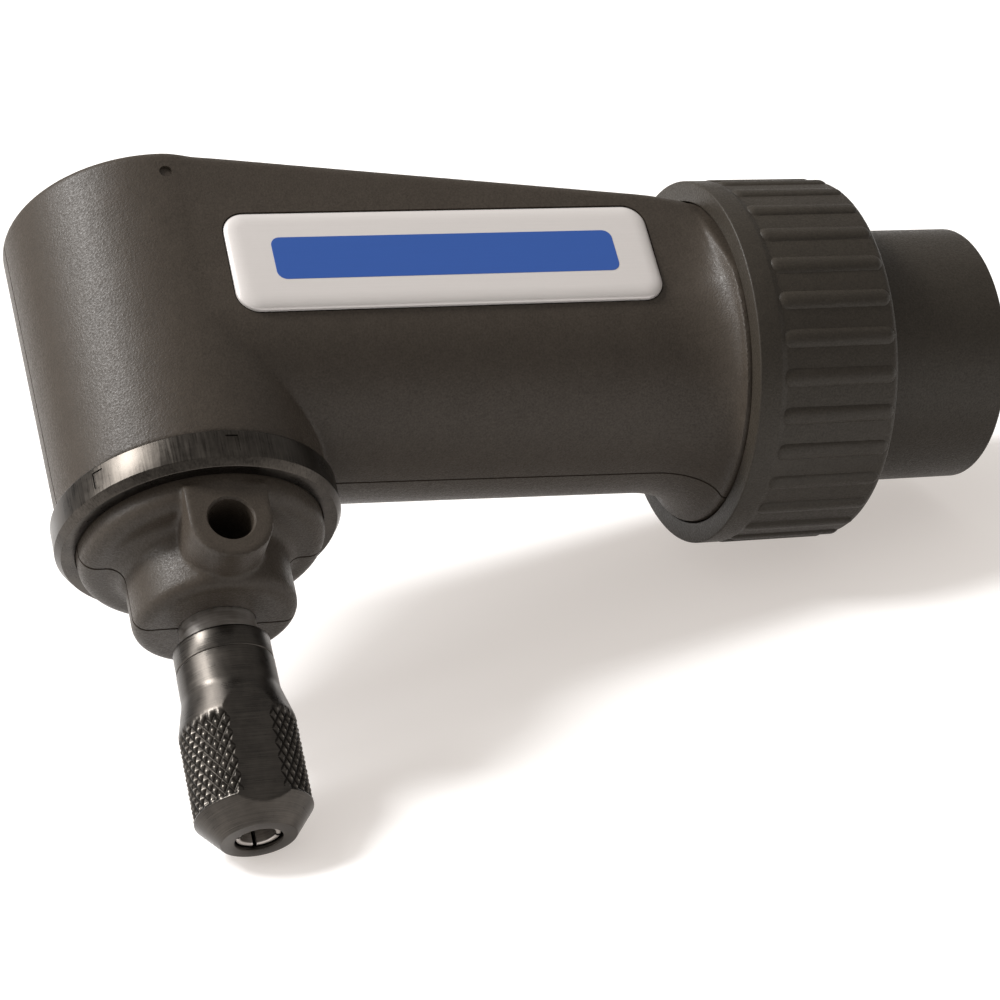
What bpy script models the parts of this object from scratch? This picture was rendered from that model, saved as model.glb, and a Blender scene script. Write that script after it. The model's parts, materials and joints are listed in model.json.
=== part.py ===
"""Right angle attachment for a hand-held rotary tool, as an assembly of separate pieces.

Sizes are in millimetres and are turned into metres where a mesh is made. The drive axis is world X and the
tang's end face is at the origin. Every piece is drawn from the point where the drive axis meets the output
axis, so both joint axes pass through the origin of every object.
"""
import math

import bmesh
import bpy
from mathutils import Matrix, Vector

millimetre = 0.001

# Overall layout, measured from the point where the two axes meet.
reach = 66.0
flange_back = 52.6
sleeve_end = 80.0
head_top = 16.6
hub_foot = 25.6
nut_tip = 46.3

# Fits between neighbours.
seat_gap = 0.2
running_gap = 0.25
tooth_backlash = 0.16

# Moulded housing.
head_radius = 12.4
collar_radius = 17.4
head_rim = 0.9
body_depth_front = head_radius - 1.2
body_depth_back = head_radius - 0.1
body_top_back = 11.0
body_corner = 1.6
body_inset = 0.05
body_overlap = 1.0
flange_radius = collar_radius - 1.9
flange_thickness = 1.6
flare_length = 4.4
nose_radius = head_radius - 1.0
nose_foot = 19.2
nose_round = 1.3
nose_slope = 0.4
hub_radius = 7.3
hub_round = 1.9
hub_fillet = 1.6
parting_gap = 0.04
web_thickness = 1.8
chamber_radius = head_radius - 2.8
chamber_top = 7.4
hollow_radius = 8.0
bearing_web = 1.0

# Ring round the foot of the head.
ring_radius = head_radius + 0.5
ring_top = 13.3
ring_height = 3.6
ring_chamfer = 0.7
ring_taper = 0.385
ring_edge = 0.2

# Boss and hole for the lock pin.
boss_width = 7.4
boss_face = nose_radius - 0.4
lock_height = 21.2
lock_hole = 4.0
spindle_lock_hole = 3.2

# Plate on the side.
label_length = 41.0
label_height = 10.6
label_start = 4.4
label_middle = 4.0
label_corner = 2.2
label_thickness = 0.7
label_sink = 0.35

# Coupling collar and its threaded sleeve.
collar_front = 51.4
collar_length = 14.9
collar_edge = 0.45
collar_floor = 53.0
collar_play = 0.35
rib_count = 30
rib_width = 1.8
rib_crest = 1.0
rib_height = 0.35
rib_sink = 0.3
rib_start = 2.8
rib_end = 0.4
sleeve_radius = 12.3
sleeve_edge = 0.6
thread_bore = 18.2
thread_mouth = 19.8
thread_depth = 17.0
neck_front = 44.5
neck_radius = head_radius - 1.8
neck_bore = 2 * neck_radius - 5.2
groove_radius = neck_radius - 1.3
groove_start = 47.0
groove_width = 2.0
pocket_outer = collar_radius - 2.3
pocket_inner = neck_radius + 4 / 9 * (pocket_outer - neck_radius)
pocket_depth = 10.5

# Bevel gears, both alike.
teeth = 13
tooth_module = 1.0
face_width = 3.4
pressure_angle = math.radians(20.0)
spiral_angle = math.radians(30.0)
addendum = 0.9
dedendum = 1.25
gear_hub_radius = 4.7
gear_hub_end = 11.8
gear_back = 0.2
pin_radius = 0.6
pin_setback = 1.7

# Drive shaft and its bearings.
shaft_radius = 3.0
pinion_seat_radius = 2.4
shaft_front = 4.6
tang_width = 4.0
tang_length = 10.0
tang_chamfer = 0.4
shaft_chamfer = 0.3
drive_bore = 6.0
drive_outside = 15.0
drive_bearing_width = 5.0
front_bearing = 12.0
rear_bearing = 36.5
drive_balls = 7
spacer_wall = 1.0
clip_thickness = 0.8
clip_groove = 0.35
clip_reach = 1.5
clip_opening = 1.8
clip_play = 0.15
washer_thickness = 0.4
washer_wave = 0.25

# Bearings: the ball and its cage as shares of the room between the races.
ball_share = 0.29
land_share = 0.62
groove_facet = math.radians(23.0)
cage_length_share = 0.55
cage_wall_share = 0.2

# Output spindle, its bearing and bush.
spindle_top = 13.4
spindle_upper_radius = 2.5
spindle_flange_radius = 5.2
spindle_flange_thickness = 0.7
spindle_radius = 4.0
spindle_neck_radius = 3.15
spindle_thread_radius = 3.4
spindle_thread_start = 28.0
spindle_foot = 39.0
spindle_shoulder = 0.4
thread_start_chamfer = 0.25
bore_point = 0.8
spindle_bore = 1.75
spindle_bore_top = 27.0
collet_pocket_radius = 2.6
collet_pocket_top = 32.4
spindle_bearing_bore = 8.0
spindle_bearing_outside = 16.0
spindle_bearing_width = 5.0
spindle_balls = 8
bush_length = 5.0
bush_radius = 4.8
seal_top = 22.9
seal_height = 1.7
seal_radius = 5.7

# Collet and nut.
collet_top = 32.9
collet_shank_radius = 2.4
collet_bore = 1.6
collet_head_top = 40.2
collet_shoulder = 0.6
collet_land = 0.8
collet_head_radius = 3.2
collet_foot_radius = 2.35
collet_recess = 0.35
slit_width = 0.5
slit_top = 35.5
nut_top = 27.3
nut_neck_radius = 4.25
nut_grip_radius = 5.25
nut_bore = 3.75
nut_flare_start = 32.6
nut_flare_end = 35.4
nut_flare_middle = 33.86
nut_flare_step = 0.45
nut_taper = 0.1
nut_edge = 0.35
nut_nose_start = 44.2
nut_nose_edge = 0.4
nut_tip_edge = 0.2
nut_tip_radius = 3.3
nut_flats = 9.8
nut_flat_foot = 43.1

# Housing screws, driven in from the rear side.
screw_radius = 1.05
screw_head_radius = 1.9
screw_head_height = 1.5
screw_socket = 0.85
screw_sink = 3.0
screw_depth = head_radius - 4.8
screw_play = 0.2
screw_boss_radius = 2.4
screw_places = [
    (-8.0, 11.7),
    (18.5, 10.8),
    (32.0, 10.3),
    (25.3, -7.3),
]

# Facets round a full turn.
fine_sides = 36
medium_sides = 24
small_sides = 20
pin_sides = 8
screw_sides = 12
belly_steps = 14
flare_steps = 3
tooth_stations = 3

apex = Vector((-reach, 0.0, 0.0))

# What follows from the sizes above.
pitch_cone = math.radians(45.0)
pitch_radius = tooth_module * teeth / 2
cone_distance = pitch_radius / math.sin(pitch_cone)
ring_foot = ring_top + ring_height
spindle_bearing = gear_hub_end + seat_gap + spindle_flange_thickness
rear_bearing_end = rear_bearing + drive_bearing_width
spindle_bearing_end = spindle_bearing + spindle_bearing_width
body_end = flange_back - flange_thickness
collar_back = collar_front + collar_length


def clear_scene():
    """Empties the file that Blender starts with."""
    for item in list(bpy.data.objects):
        bpy.data.objects.remove(item, do_unlink=True)


def make_material(name, colour, roughness, metallic):
    """Makes one plain material."""
    material = bpy.data.materials.new(name)
    material.use_nodes = True
    shader = material.node_tree.nodes["Principled BSDF"]
    shader.inputs["Base Color"].default_value = (*colour, 1.0)
    shader.inputs["Roughness"].default_value = roughness
    shader.inputs["Metallic"].default_value = metallic
    return material


def make_object(name, points, faces):
    """Makes a closed mesh object at the apex from points in millimetres."""
    mesh = bpy.data.meshes.new(name)
    scaled = [Vector(point) * millimetre for point in points]
    mesh.from_pydata(scaled, [], faces)
    shape = bmesh.new()
    shape.from_mesh(mesh)
    bmesh.ops.remove_doubles(shape, verts=shape.verts, dist=1e-7)
    bmesh.ops.recalc_face_normals(shape, faces=shape.faces)
    shape.to_mesh(mesh)
    shape.free()
    item = bpy.data.objects.new(name, mesh)
    bpy.context.collection.objects.link(item)
    item.location = apex * millimetre
    return item


def finish(item, material, smooth_angle=35.0):
    """Gives a finished piece its material and its shading."""
    item.data.materials.clear()
    item.data.materials.append(material)
    for face in item.data.polygons:
        face.use_smooth = True
    item.data.set_sharp_from_angle(angle=math.radians(smooth_angle))
    return item


def along(axis, radius, angle, distance):
    """Gives the point at a radius, an angle and a distance along the drive or the output axis."""
    if axis == "drive":
        return (distance, radius * math.cos(angle), radius * math.sin(angle))
    return (radius * math.cos(angle), radius * math.sin(angle), -distance)


def turned(name, profile, axis, sides):
    """Turns a closed outline of (radius, distance) points round an axis."""
    points = []
    rings = []
    for radius, distance in profile:
        ring = []
        count = sides if radius > 0 else 1
        for step in range(count):
            ring.append(len(points))
            points.append(along(axis, radius, 2 * math.pi * step / sides, distance))
        rings.append(ring)
    faces = []
    for index, ring in enumerate(rings):
        following = rings[(index + 1) % len(rings)]
        if len(ring) == 1 and len(following) == 1:
            continue
        for step in range(sides):
            after = (step + 1) % sides
            corners = [ring[step % len(ring)], ring[after % len(ring)]]
            corners += [following[after % len(following)], following[step % len(following)]]
            faces.append(list(dict.fromkeys(corners)))
    return make_object(name, points, faces)


def tube(name, inner, outer, start, end, axis, sides):
    """Makes a plain ring between two radii and two distances."""
    profile = [(inner, start), (outer, start), (outer, end), (inner, end)]
    return turned(name, profile, axis, sides)


def box(name, low, high):
    """Makes a block between two corners."""
    points = []
    for x in (low[0], high[0]):
        for y in (low[1], high[1]):
            for z in (low[2], high[2]):
                points.append((x, y, z))
    faces = [(0, 1, 3, 2), (4, 6, 7, 5), (0, 4, 5, 1), (2, 3, 7, 6), (0, 2, 6, 4), (1, 5, 7, 3)]
    return make_object(name, points, faces)


def extruded(name, outline, near, far):
    """Pushes a closed outline of (x, z) points from one y to another."""
    count = len(outline)
    points = [(x, near, z) for x, z in outline] + [(x, far, z) for x, z in outline]
    faces = [list(range(count)), list(range(2 * count - 1, count - 1, -1))]
    for step in range(count):
        after = (step + 1) % count
        faces.append((step, after, count + after, count + step))
    return make_object(name, points, faces)


def cross_rod(name, radius, x, z, near, far, sides):
    """Makes a cylinder across the part, along Y."""
    outline = []
    for step in range(sides):
        angle = 2 * math.pi * step / sides
        outline.append((x + radius * math.cos(angle), z + radius * math.sin(angle)))
    return extruded(name, outline, near, far)


def combine(item, tool, operation):
    """Joins a tool to a piece, or cuts it away or keeps what they share, and deletes the tool."""
    modifier = item.modifiers.new(operation, "BOOLEAN")
    modifier.operation = operation
    modifier.solver = "EXACT"
    modifier.object = tool
    graph = bpy.context.evaluated_depsgraph_get()
    mesh = bpy.data.meshes.new_from_object(item.evaluated_get(graph))
    item.modifiers.clear()
    old_mesh = item.data
    item.data = mesh
    bpy.data.meshes.remove(old_mesh)
    tool_mesh = tool.data
    bpy.data.objects.remove(tool, do_unlink=True)
    bpy.data.meshes.remove(tool_mesh)
    return item


def arc(centre, radius, first, last, steps):
    """Gives the points of an arc, ends included, with angles in degrees."""
    points = []
    for step in range(steps + 1):
        angle = math.radians(first + (last - first) * step / steps)
        points.append((centre[0] + radius * math.cos(angle), centre[1] + radius * math.sin(angle)))
    return points


def head_profile():
    """Gives the outline of the head, the nose and the hub as (radius, depth below the apex)."""
    top = -head_top
    profile = [(0, top)]
    profile += arc((head_radius - head_rim, top + head_rim), head_rim, -90, 0, 2)
    profile += [(head_radius, ring_top), (nose_radius, ring_top)]
    profile += arc((nose_radius - nose_round, nose_foot - nose_round - nose_slope), nose_round, 0, 75, 2)
    fillet_centre = (hub_radius + hub_fillet, nose_foot + hub_fillet)
    profile += arc(fillet_centre, hub_fillet, 270, 180, 2)
    profile += arc((hub_radius - hub_round, hub_foot - hub_round), hub_round, 0, 90, 3)
    profile.append((0, hub_foot))
    return profile


def top_height(x):
    """Gives how high the housing's top lies: level over the front of the head, then sloping down."""
    return head_top + (body_top_back - head_top) * max(0.0, x) / body_end


def head_solid(name):
    """Makes the head with its nose and hub, and slopes its top like the body's."""
    head = turned(name, head_profile(), "output", fine_sides)
    for vertex in head.data.vertices:
        if vertex.co.z >= (head_top - head_rim) * millimetre - 1e-6:
            vertex.co.z -= (head_top - top_height(vertex.co.x / millimetre)) * millimetre
    return head


def body_outline(top, depth, corner):
    """Gives one section of the body as (y, z) points, from the rear top edge down and round."""
    outline = []
    half = head_radius - body_inset
    for step in range(belly_steps + 1):
        angle = -math.pi * step / belly_steps
        outline.append((half * math.cos(angle), depth * math.sin(angle)))
    outline += arc((-half + corner, top - corner), corner, 180, 90, 2)
    outline += arc((half - corner, top - corner), corner, 90, 0, 2)
    return outline


def body_solid():
    """Makes the long body, which slopes down at the top and flares out into the flange."""
    stations = [(-body_overlap, 0.0), (0.0, 0.0), (body_end - flare_length, 0.0)]
    for step in range(1, flare_steps + 1):
        angle = math.pi / 2 * step / flare_steps
        place = body_end - flare_length + flare_length * math.sin(angle)
        stations.append((place, 1 - math.cos(angle)))
    stations.append((flange_back, 1.0))
    points = []
    rings = []
    for place, flare in stations:
        share = place / body_end
        top = top_height(place)
        depth = body_depth_front + (body_depth_back - body_depth_front) * share
        ring = []
        for y, z in body_outline(top, depth, body_corner):
            length = math.hypot(y, z)
            grown = length + (flange_radius - length) * flare
            ring.append(len(points))
            points.append((place, y * grown / length, z * grown / length))
        rings.append(ring)
    faces = [rings[0], rings[-1][::-1]]
    for first, second in zip(rings, rings[1:]):
        for step in range(len(first)):
            after = (step + 1) % len(first)
            faces.append((first[step], first[after], second[after], second[step]))
    return make_object("body_solid", points, faces)


def boss_solid():
    """Makes the U-shaped boss round the lock pin's hole."""
    half = boss_width / 2
    outline = [(half, -nose_foot + nose_round)]
    outline += arc((0, -lock_height), half, 0, -180, 10)
    outline.append((-half, -nose_foot + nose_round))
    return extruded("boss_solid", outline, -boss_face, -hub_radius / 2)


def head_cavity():
    """Makes the room for the gears, the spindle, its bush, its bearing and its seal."""
    bush_room = bush_radius + seat_gap
    bearing_room = spindle_bearing_outside / 2 + seat_gap
    bore = spindle_radius + 2 * running_gap
    profile = [
        (0, -spindle_top - seat_gap),
        (bush_room, -spindle_top - seat_gap),
        (bush_room, -chamber_top),
        (chamber_radius, -chamber_top),
        (chamber_radius, spindle_bearing - seat_gap - web_thickness),
        (bearing_room - web_thickness / 2, spindle_bearing - seat_gap - web_thickness),
        (bearing_room - web_thickness / 2, spindle_bearing - seat_gap),
        (bearing_room, spindle_bearing - seat_gap),
        (bearing_room, spindle_bearing_end + seat_gap),
        (bearing_room - web_thickness, spindle_bearing_end + seat_gap),
        (bearing_room - web_thickness, spindle_bearing_end + 2 * seat_gap + clip_thickness),
        (bore, spindle_bearing_end + 2 * seat_gap + clip_thickness),
        (bore, seal_top - seat_gap),
        (seal_radius + seat_gap, seal_top - seat_gap),
        (seal_radius + seat_gap, seal_top + seal_height + seat_gap),
        (spindle_neck_radius + 2 * running_gap, seal_top + seal_height + seat_gap),
        (spindle_neck_radius + 2 * running_gap, hub_foot + 1),
        (0, hub_foot + 1),
    ]
    return turned("head_cavity", profile, "output", medium_sides)


def body_cavity():
    """Makes the room for the pinion, the shaft, its bearings and the collar's neck."""
    seat = drive_outside / 2 + seat_gap
    web = seat - web_thickness
    front_end = front_bearing + drive_bearing_width + seat_gap
    rear_start = rear_bearing - seat_gap
    rear_end = rear_bearing_end + 2 * seat_gap + clip_thickness
    mouth = neck_radius + collar_play
    tongue = groove_radius + 2 * running_gap
    tongue_start = groove_start + running_gap
    tongue_end = groove_start + groove_width - running_gap
    profile = [
        (0, 1.0),
        (hollow_radius, 1.0),
        (hollow_radius, front_bearing - seat_gap - bearing_web),
        (web, front_bearing - seat_gap - bearing_web),
        (web, front_bearing - seat_gap),
        (seat, front_bearing - seat_gap),
        (seat, front_end),
        (web, front_end),
        (web, front_end + web_thickness),
        (hollow_radius, front_end + web_thickness),
        (hollow_radius, rear_start - web_thickness),
        (web, rear_start - web_thickness),
        (web, rear_start),
        (seat, rear_start),
        (seat, rear_end),
        (web, rear_end),
        (web, neck_front - running_gap),
        (mouth, neck_front - running_gap),
        (mouth, tongue_start),
        (tongue, tongue_start),
        (tongue, tongue_end),
        (mouth, tongue_end),
        (mouth, flange_back + 1),
        (0, flange_back + 1),
    ]
    cavity = turned("body_cavity", profile, "drive", medium_sides)
    for x, z in screw_places:
        if abs(z) < hollow_radius:
            boss = cross_rod("screw_boss", screw_boss_radius, x, z, -head_radius, head_radius, screw_sides)
            combine(cavity, boss, "DIFFERENCE")
    return cavity


def screw_face(x, z):
    """Gives how far out the rear half's surface lies at a screw."""
    if x < 0:
        return math.sqrt(head_radius ** 2 - x ** 2)
    if z < 0:
        depth = body_depth_front + (body_depth_back - body_depth_front) * x / body_end
        return head_radius * math.sqrt(1 - (z / depth) ** 2)
    return head_radius


def screw_holes(half):
    """Cuts the screws' holes into one half of the housing."""
    for x, z in screw_places:
        if half.name == "housing_rear":
            shoulder = screw_face(x, z) - screw_sink
            bore = cross_rod("bore", screw_radius + screw_play, x, z, -1, head_radius, screw_sides)
            combine(half, bore, "DIFFERENCE")
            head = screw_head_radius + screw_play
            sink = cross_rod("sink", head, x, z, shoulder, 2 * head_radius, screw_sides)
            combine(half, sink, "DIFFERENCE")
        else:
            depth = -screw_depth - screw_play
            pilot = cross_rod("pilot", screw_radius + screw_play, x, z, depth, 1, screw_sides)
            combine(half, pilot, "DIFFERENCE")


def rounded_plate(length, height, corner, near, far, name):
    """Makes a plate with round corners beside the body."""
    outline = []
    middle_x = label_start + label_length / 2
    for side_x, side_z, first in ((1, 1, 0), (-1, 1, 90), (-1, -1, 180), (1, -1, 270)):
        centre_x = middle_x + side_x * (length / 2 - corner)
        centre_z = label_middle + side_z * (height / 2 - corner)
        outline += arc((centre_x, centre_z), corner, first, first + 90, 4)
    return extruded(name, outline, near, far)


def housing_half(name, side, material):
    """Makes one moulded half: front is side -1, rear is side 1."""
    half = head_solid(name)
    combine(half, body_solid(), "UNION")
    if side < 0:
        combine(half, boss_solid(), "UNION")
    combine(half, head_cavity(), "DIFFERENCE")
    combine(half, body_cavity(), "DIFFERENCE")
    far = 3 * head_radius
    low = (-far, parting_gap if side > 0 else -far, -2 * far)
    high = (sleeve_end, far if side > 0 else -parting_gap, far)
    combine(half, box("half_space", low, high), "INTERSECT")
    screw_holes(half)
    if side < 0:
        hole = cross_rod("lock_bore", lock_hole / 2, 0, -lock_height, -boss_face - 1, -1, small_sides)
        combine(half, hole, "DIFFERENCE")
        recess_gap = 2 * seat_gap
        floor = -head_radius + label_sink
        size = (label_length + recess_gap, label_height + recess_gap, label_corner + seat_gap)
        recess = rounded_plate(*size, -head_radius - 1, floor, "label_recess")
        combine(half, recess, "DIFFERENCE")
    return finish(half, material)


def head_ring(material):
    """Makes the metal ring that clamps the two halves together."""
    inner = nose_radius + seat_gap
    start = ring_top + seat_gap
    profile = [
        (inner, start),
        (ring_radius - ring_edge, start),
        (ring_radius, start + ring_edge),
        (ring_radius, ring_foot - ring_chamfer),
        (ring_radius - ring_taper, ring_foot),
        (inner, ring_foot),
    ]
    return finish(turned("head_ring", profile, "output", fine_sides), material)


def label_plate(material):
    """Makes the plate that sits in the shallow recess on the front half."""
    back = -head_radius + label_sink - seat_gap / 2
    front = back - label_thickness
    plate = rounded_plate(label_length, label_height, label_corner, front, back, "label_plate")
    return finish(plate, material)


def rib_solid(angle):
    """Gives one low rib with sloping sides and a sloping front end, sunk a little into the collar."""
    foot = rib_width / 2
    crest = rib_crest / 2
    low = collar_radius - rib_sink
    high = collar_radius + rib_height
    start = collar_front + rib_start
    end = collar_back - rib_end
    points = []
    for place, height, half in ((start, low, crest), (start + foot, high, crest), (end, high, crest)):
        points.append((place, -half, height))
        points.append((place, half, height))
    for place in (start + foot, end):
        points.append((place, -foot, low))
        points.append((place, foot, low))
    faces = [(0, 1, 3, 2), (2, 3, 5, 4), (0, 2, 6), (1, 7, 3), (6, 2, 4, 8)]
    faces += [(3, 7, 9, 5), (4, 5, 9, 8), (0, 6, 7, 1), (6, 8, 9, 7)]
    turn = Matrix.Rotation(angle, 3, "X")
    return [turn @ Vector(point) for point in points], faces


def coupling_collar(material):
    """Makes the ribbed collar in one piece with its neck and its threaded sleeve."""
    bore = thread_bore / 2
    inner = neck_bore / 2
    front_recess = flange_radius + collar_play
    profile = [
        (inner, neck_front),
        (neck_radius, neck_front),
        (neck_radius, groove_start),
        (groove_radius, groove_start),
        (groove_radius, groove_start + groove_width),
        (neck_radius, groove_start + groove_width),
        (neck_radius, collar_floor),
        (pocket_inner, collar_floor),
        (pocket_inner, collar_floor + pocket_depth),
        (pocket_outer, collar_floor + pocket_depth),
        (pocket_outer, collar_floor),
        (front_recess, collar_floor),
        (front_recess, collar_front),
        (collar_radius - collar_edge, collar_front),
        (collar_radius, collar_front + collar_edge),
        (collar_radius, collar_back - collar_edge),
        (collar_radius - collar_edge, collar_back),
        (sleeve_radius, collar_back),
        (sleeve_radius, sleeve_end - sleeve_edge),
        (sleeve_radius - sleeve_edge, sleeve_end),
        (thread_mouth / 2, sleeve_end),
        (bore, sleeve_end - thread_mouth / 2 + bore),
        (bore, sleeve_end - thread_depth),
        (inner, sleeve_end - thread_depth),
    ]
    collar = turned("coupling_collar", profile, "drive", rib_count)
    points = []
    faces = []
    for index in range(rib_count):
        rib_points, rib_faces = rib_solid(2 * math.pi * index / rib_count)
        faces += [[corner + len(points) for corner in face] for face in rib_faces]
        points += rib_points
    combine(collar, make_object("ribs", points, faces), "UNION")
    return finish(collar, material)


def tooth_sections():
    """Gives the tooth outline on cones of falling size, as rings of (radius, angle, distance)."""
    rings = []
    virtual_teeth = teeth / math.cos(pitch_cone)
    half_pitch = math.pi / virtual_teeth
    involute = math.tan(pressure_angle) - pressure_angle
    mean_distance = cone_distance - face_width / 2
    for section in range(tooth_stations + 1):
        distance = cone_distance - face_width * (tooth_stations - section) / tooth_stations
        scale = distance / cone_distance
        rolled = distance * math.tan(pitch_cone)
        base = rolled * math.cos(pressure_angle)
        root = rolled - dedendum * tooth_module * scale
        tip = rolled + addendum * tooth_module * scale
        thinning = tooth_backlash * scale / 4 / rolled
        twist = math.tan(spiral_angle) / math.sin(pitch_cone) * math.log(distance / mean_distance)
        side = []
        for radius in (root, rolled, tip):
            roll = math.acos(min(1.0, base / max(radius, base)))
            side.append((radius, half_pitch / 2 - thinning + involute - (math.tan(roll) - roll)))
        outline = [(radius, -half) for radius, half in side] + [(radius, half) for radius, half in side[::-1]]
        ring = []
        for tooth in range(teeth):
            for radius, half in outline:
                angle = twist + 2 * math.pi * tooth / teeth + half / math.cos(pitch_cone)
                height = distance / math.cos(pitch_cone) - radius * math.sin(pitch_cone)
                ring.append((radius * math.cos(pitch_cone), angle, height))
        rings.append(ring)
    return rings


def bevel_gear(name, axis, bore, phase, material):
    """Makes one spiral bevel gear: the two mesh where drive +X and output -Z lie side by side."""
    def place(radius, angle, distance):
        angle += phase
        if axis == "drive":
            return (distance, radius * math.sin(angle), -radius * math.cos(angle))
        return (radius * math.cos(angle), radius * math.sin(angle), -distance)

    sections = tooth_sections()
    hub_points = 2 * teeth
    back = max(height for radius, angle, height in sections[-1]) + gear_back
    front = max(height for radius, angle, height in sections[0])
    start_angle = sections[0][0][1]
    end_angle = sections[-1][0][1]
    points = []
    rings = []

    def add_ring(radius, distance, offset):
        ring = []
        for step in range(hub_points):
            ring.append(len(points))
            points.append(place(radius, offset + 2 * math.pi * step / hub_points, distance))
        rings.append(ring)

    add_ring(bore, front, start_angle)
    for section in sections:
        ring = []
        for radius, angle, height in section:
            ring.append(len(points))
            points.append(place(radius, angle, height))
        rings.append(ring)
    add_ring(gear_hub_radius, back, end_angle)
    add_ring(gear_hub_radius, gear_hub_end, end_angle)
    add_ring(bore, gear_hub_end, end_angle)
    faces = []
    for index, ring in enumerate(rings):
        following = rings[(index + 1) % len(rings)]
        faces += bridge(ring, following)
    gear = make_object(name, points, faces)
    hole = pin_hole(axis, pin_radius + seat_gap / 2, gear_hub_radius + 1)
    combine(gear, hole, "DIFFERENCE")
    return finish(gear, material, 50.0)


def bridge(first, second):
    """Gives the faces between two rings whose numbers of points divide evenly."""
    faces = []
    if len(first) == len(second):
        for step in range(len(first)):
            after = (step + 1) % len(first)
            faces.append((first[step], first[after], second[after]))
            faces.append((first[step], second[after], second[step]))
        return faces
    wide, narrow = (first, second) if len(first) > len(second) else (second, first)
    share = len(wide) // len(narrow)
    for step in range(len(narrow)):
        after = (step + 1) % len(narrow)
        for part in range(share):
            corner = step * share + part
            faces.append((wide[corner], wide[(corner + 1) % len(wide)], narrow[step]))
        faces.append((wide[(step + 1) * share % len(wide)], narrow[after], narrow[step]))
    return faces


def pin_hole(axis, radius, reach_out):
    """Makes a cylinder across a shaft where its gear pin sits."""
    place = gear_hub_end - pin_setback
    if axis == "drive":
        return cross_rod("pin_hole", radius, place, 0, -reach_out, reach_out, pin_sides)
    return cross_rod("pin_hole", radius, 0, -place, -reach_out, reach_out, pin_sides)


def gear_pin(name, axis, material):
    """Makes the pin through a gear hub and its shaft."""
    pin = pin_hole(axis, pin_radius, gear_hub_radius - 0.1)
    pin.name = name
    pin.data.name = name
    return finish(pin, material)


def drive_shaft(material):
    """Makes the shaft with its seat for the pinion and its square tang."""
    tang_start = reach - tang_length
    clip_start = rear_bearing_end + seat_gap
    profile = [
        (0, shaft_front),
        (pinion_seat_radius - shaft_chamfer, shaft_front),
        (pinion_seat_radius, shaft_front + shaft_chamfer),
        (pinion_seat_radius, gear_hub_end + seat_gap / 2),
        (shaft_radius - seat_gap, gear_hub_end + seat_gap / 2),
        (shaft_radius - seat_gap, clip_start),
        (shaft_radius - clip_groove, clip_start),
        (shaft_radius - clip_groove, clip_start + clip_thickness),
        (shaft_radius - seat_gap, clip_start + clip_thickness),
        (shaft_radius - seat_gap, tang_start),
        (0, tang_start),
    ]
    shaft = turned("drive_shaft", profile, "drive", small_sides)
    half = tang_width / 2
    points = []
    for place, size in ((tang_start - 1, half), (reach - tang_chamfer, half), (reach, half - tang_chamfer)):
        points += [(place, -size, -size), (place, size, -size), (place, size, size), (place, -size, size)]
    faces = [(0, 1, 2, 3), (8, 9, 10, 11)]
    for ring in (0, 4):
        for step in range(4):
            after = (step + 1) % 4
            faces.append((ring + step, ring + after, ring + 4 + after, ring + 4 + step))
    combine(shaft, make_object("tang", points, faces), "UNION")
    combine(shaft, pin_hole("drive", pin_radius + seat_gap / 2, shaft_radius + 1), "DIFFERENCE")
    return finish(shaft, material)


def output_spindle(material):
    """Makes the spindle with its bearing seat, lock hole, thread seat and collet pocket."""
    clip_start = spindle_bearing_end + seat_gap
    seat_radius = spindle_radius - seat_gap
    neck_start = seal_top + seal_height
    profile = [
        (0, -spindle_top),
        (spindle_upper_radius - shaft_chamfer, -spindle_top),
        (spindle_upper_radius, -spindle_top + shaft_chamfer),
        (spindle_upper_radius, gear_hub_end + seat_gap),
        (spindle_flange_radius, gear_hub_end + seat_gap),
        (spindle_flange_radius, spindle_bearing - seat_gap / 2),
        (seat_radius, spindle_bearing - seat_gap / 2),
        (seat_radius, clip_start),
        (seat_radius - clip_groove, clip_start),
        (seat_radius - clip_groove, clip_start + clip_thickness),
        (seat_radius, clip_start + clip_thickness),
        (seat_radius, neck_start),
        (spindle_neck_radius, neck_start + spindle_shoulder),
        (spindle_neck_radius, spindle_thread_start),
        (spindle_thread_radius, spindle_thread_start + thread_start_chamfer),
        (spindle_thread_radius, spindle_foot - shaft_chamfer),
        (spindle_thread_radius - shaft_chamfer, spindle_foot),
        (collet_pocket_radius, spindle_foot),
        (collet_pocket_radius, collet_pocket_top),
        (spindle_bore, collet_pocket_top),
        (spindle_bore, spindle_bore_top),
        (0, spindle_bore_top - bore_point),
    ]
    spindle = turned("output_spindle", profile, "output", small_sides)
    far = spindle_radius + 1
    hole = cross_rod("lock", spindle_lock_hole / 2, 0, -lock_height, -far, far, screw_sides)
    combine(spindle, hole, "DIFFERENCE")
    combine(spindle, pin_hole("output", pin_radius + seat_gap / 2, far), "DIFFERENCE")
    return finish(spindle, material)


def ball_cage(name, axis, centre, pitch, ball, count, material):
    """Makes the balls of a bearing fused with the cage that spaces them."""
    half = ball * cage_length_share
    wall = ball * cage_wall_share
    cage = tube(name, pitch - wall, pitch + wall, centre - half, centre + half, axis, small_sides)
    for index in range(count):
        angle = 2 * math.pi * (index + 0.5) / count
        middle = Vector(along(axis, pitch, angle, centre))
        sphere = bpy.data.meshes.new("ball")
        shape = bmesh.new()
        place = Matrix.Translation(middle * millimetre)
        bmesh.ops.create_uvsphere(shape, u_segments=6, v_segments=4, radius=ball * millimetre, matrix=place)
        shape.to_mesh(sphere)
        shape.free()
        item = bpy.data.objects.new("ball", sphere)
        bpy.context.collection.objects.link(item)
        item.location = apex * millimetre
        combine(cage, item, "UNION")
    return finish(cage, material)


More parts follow.
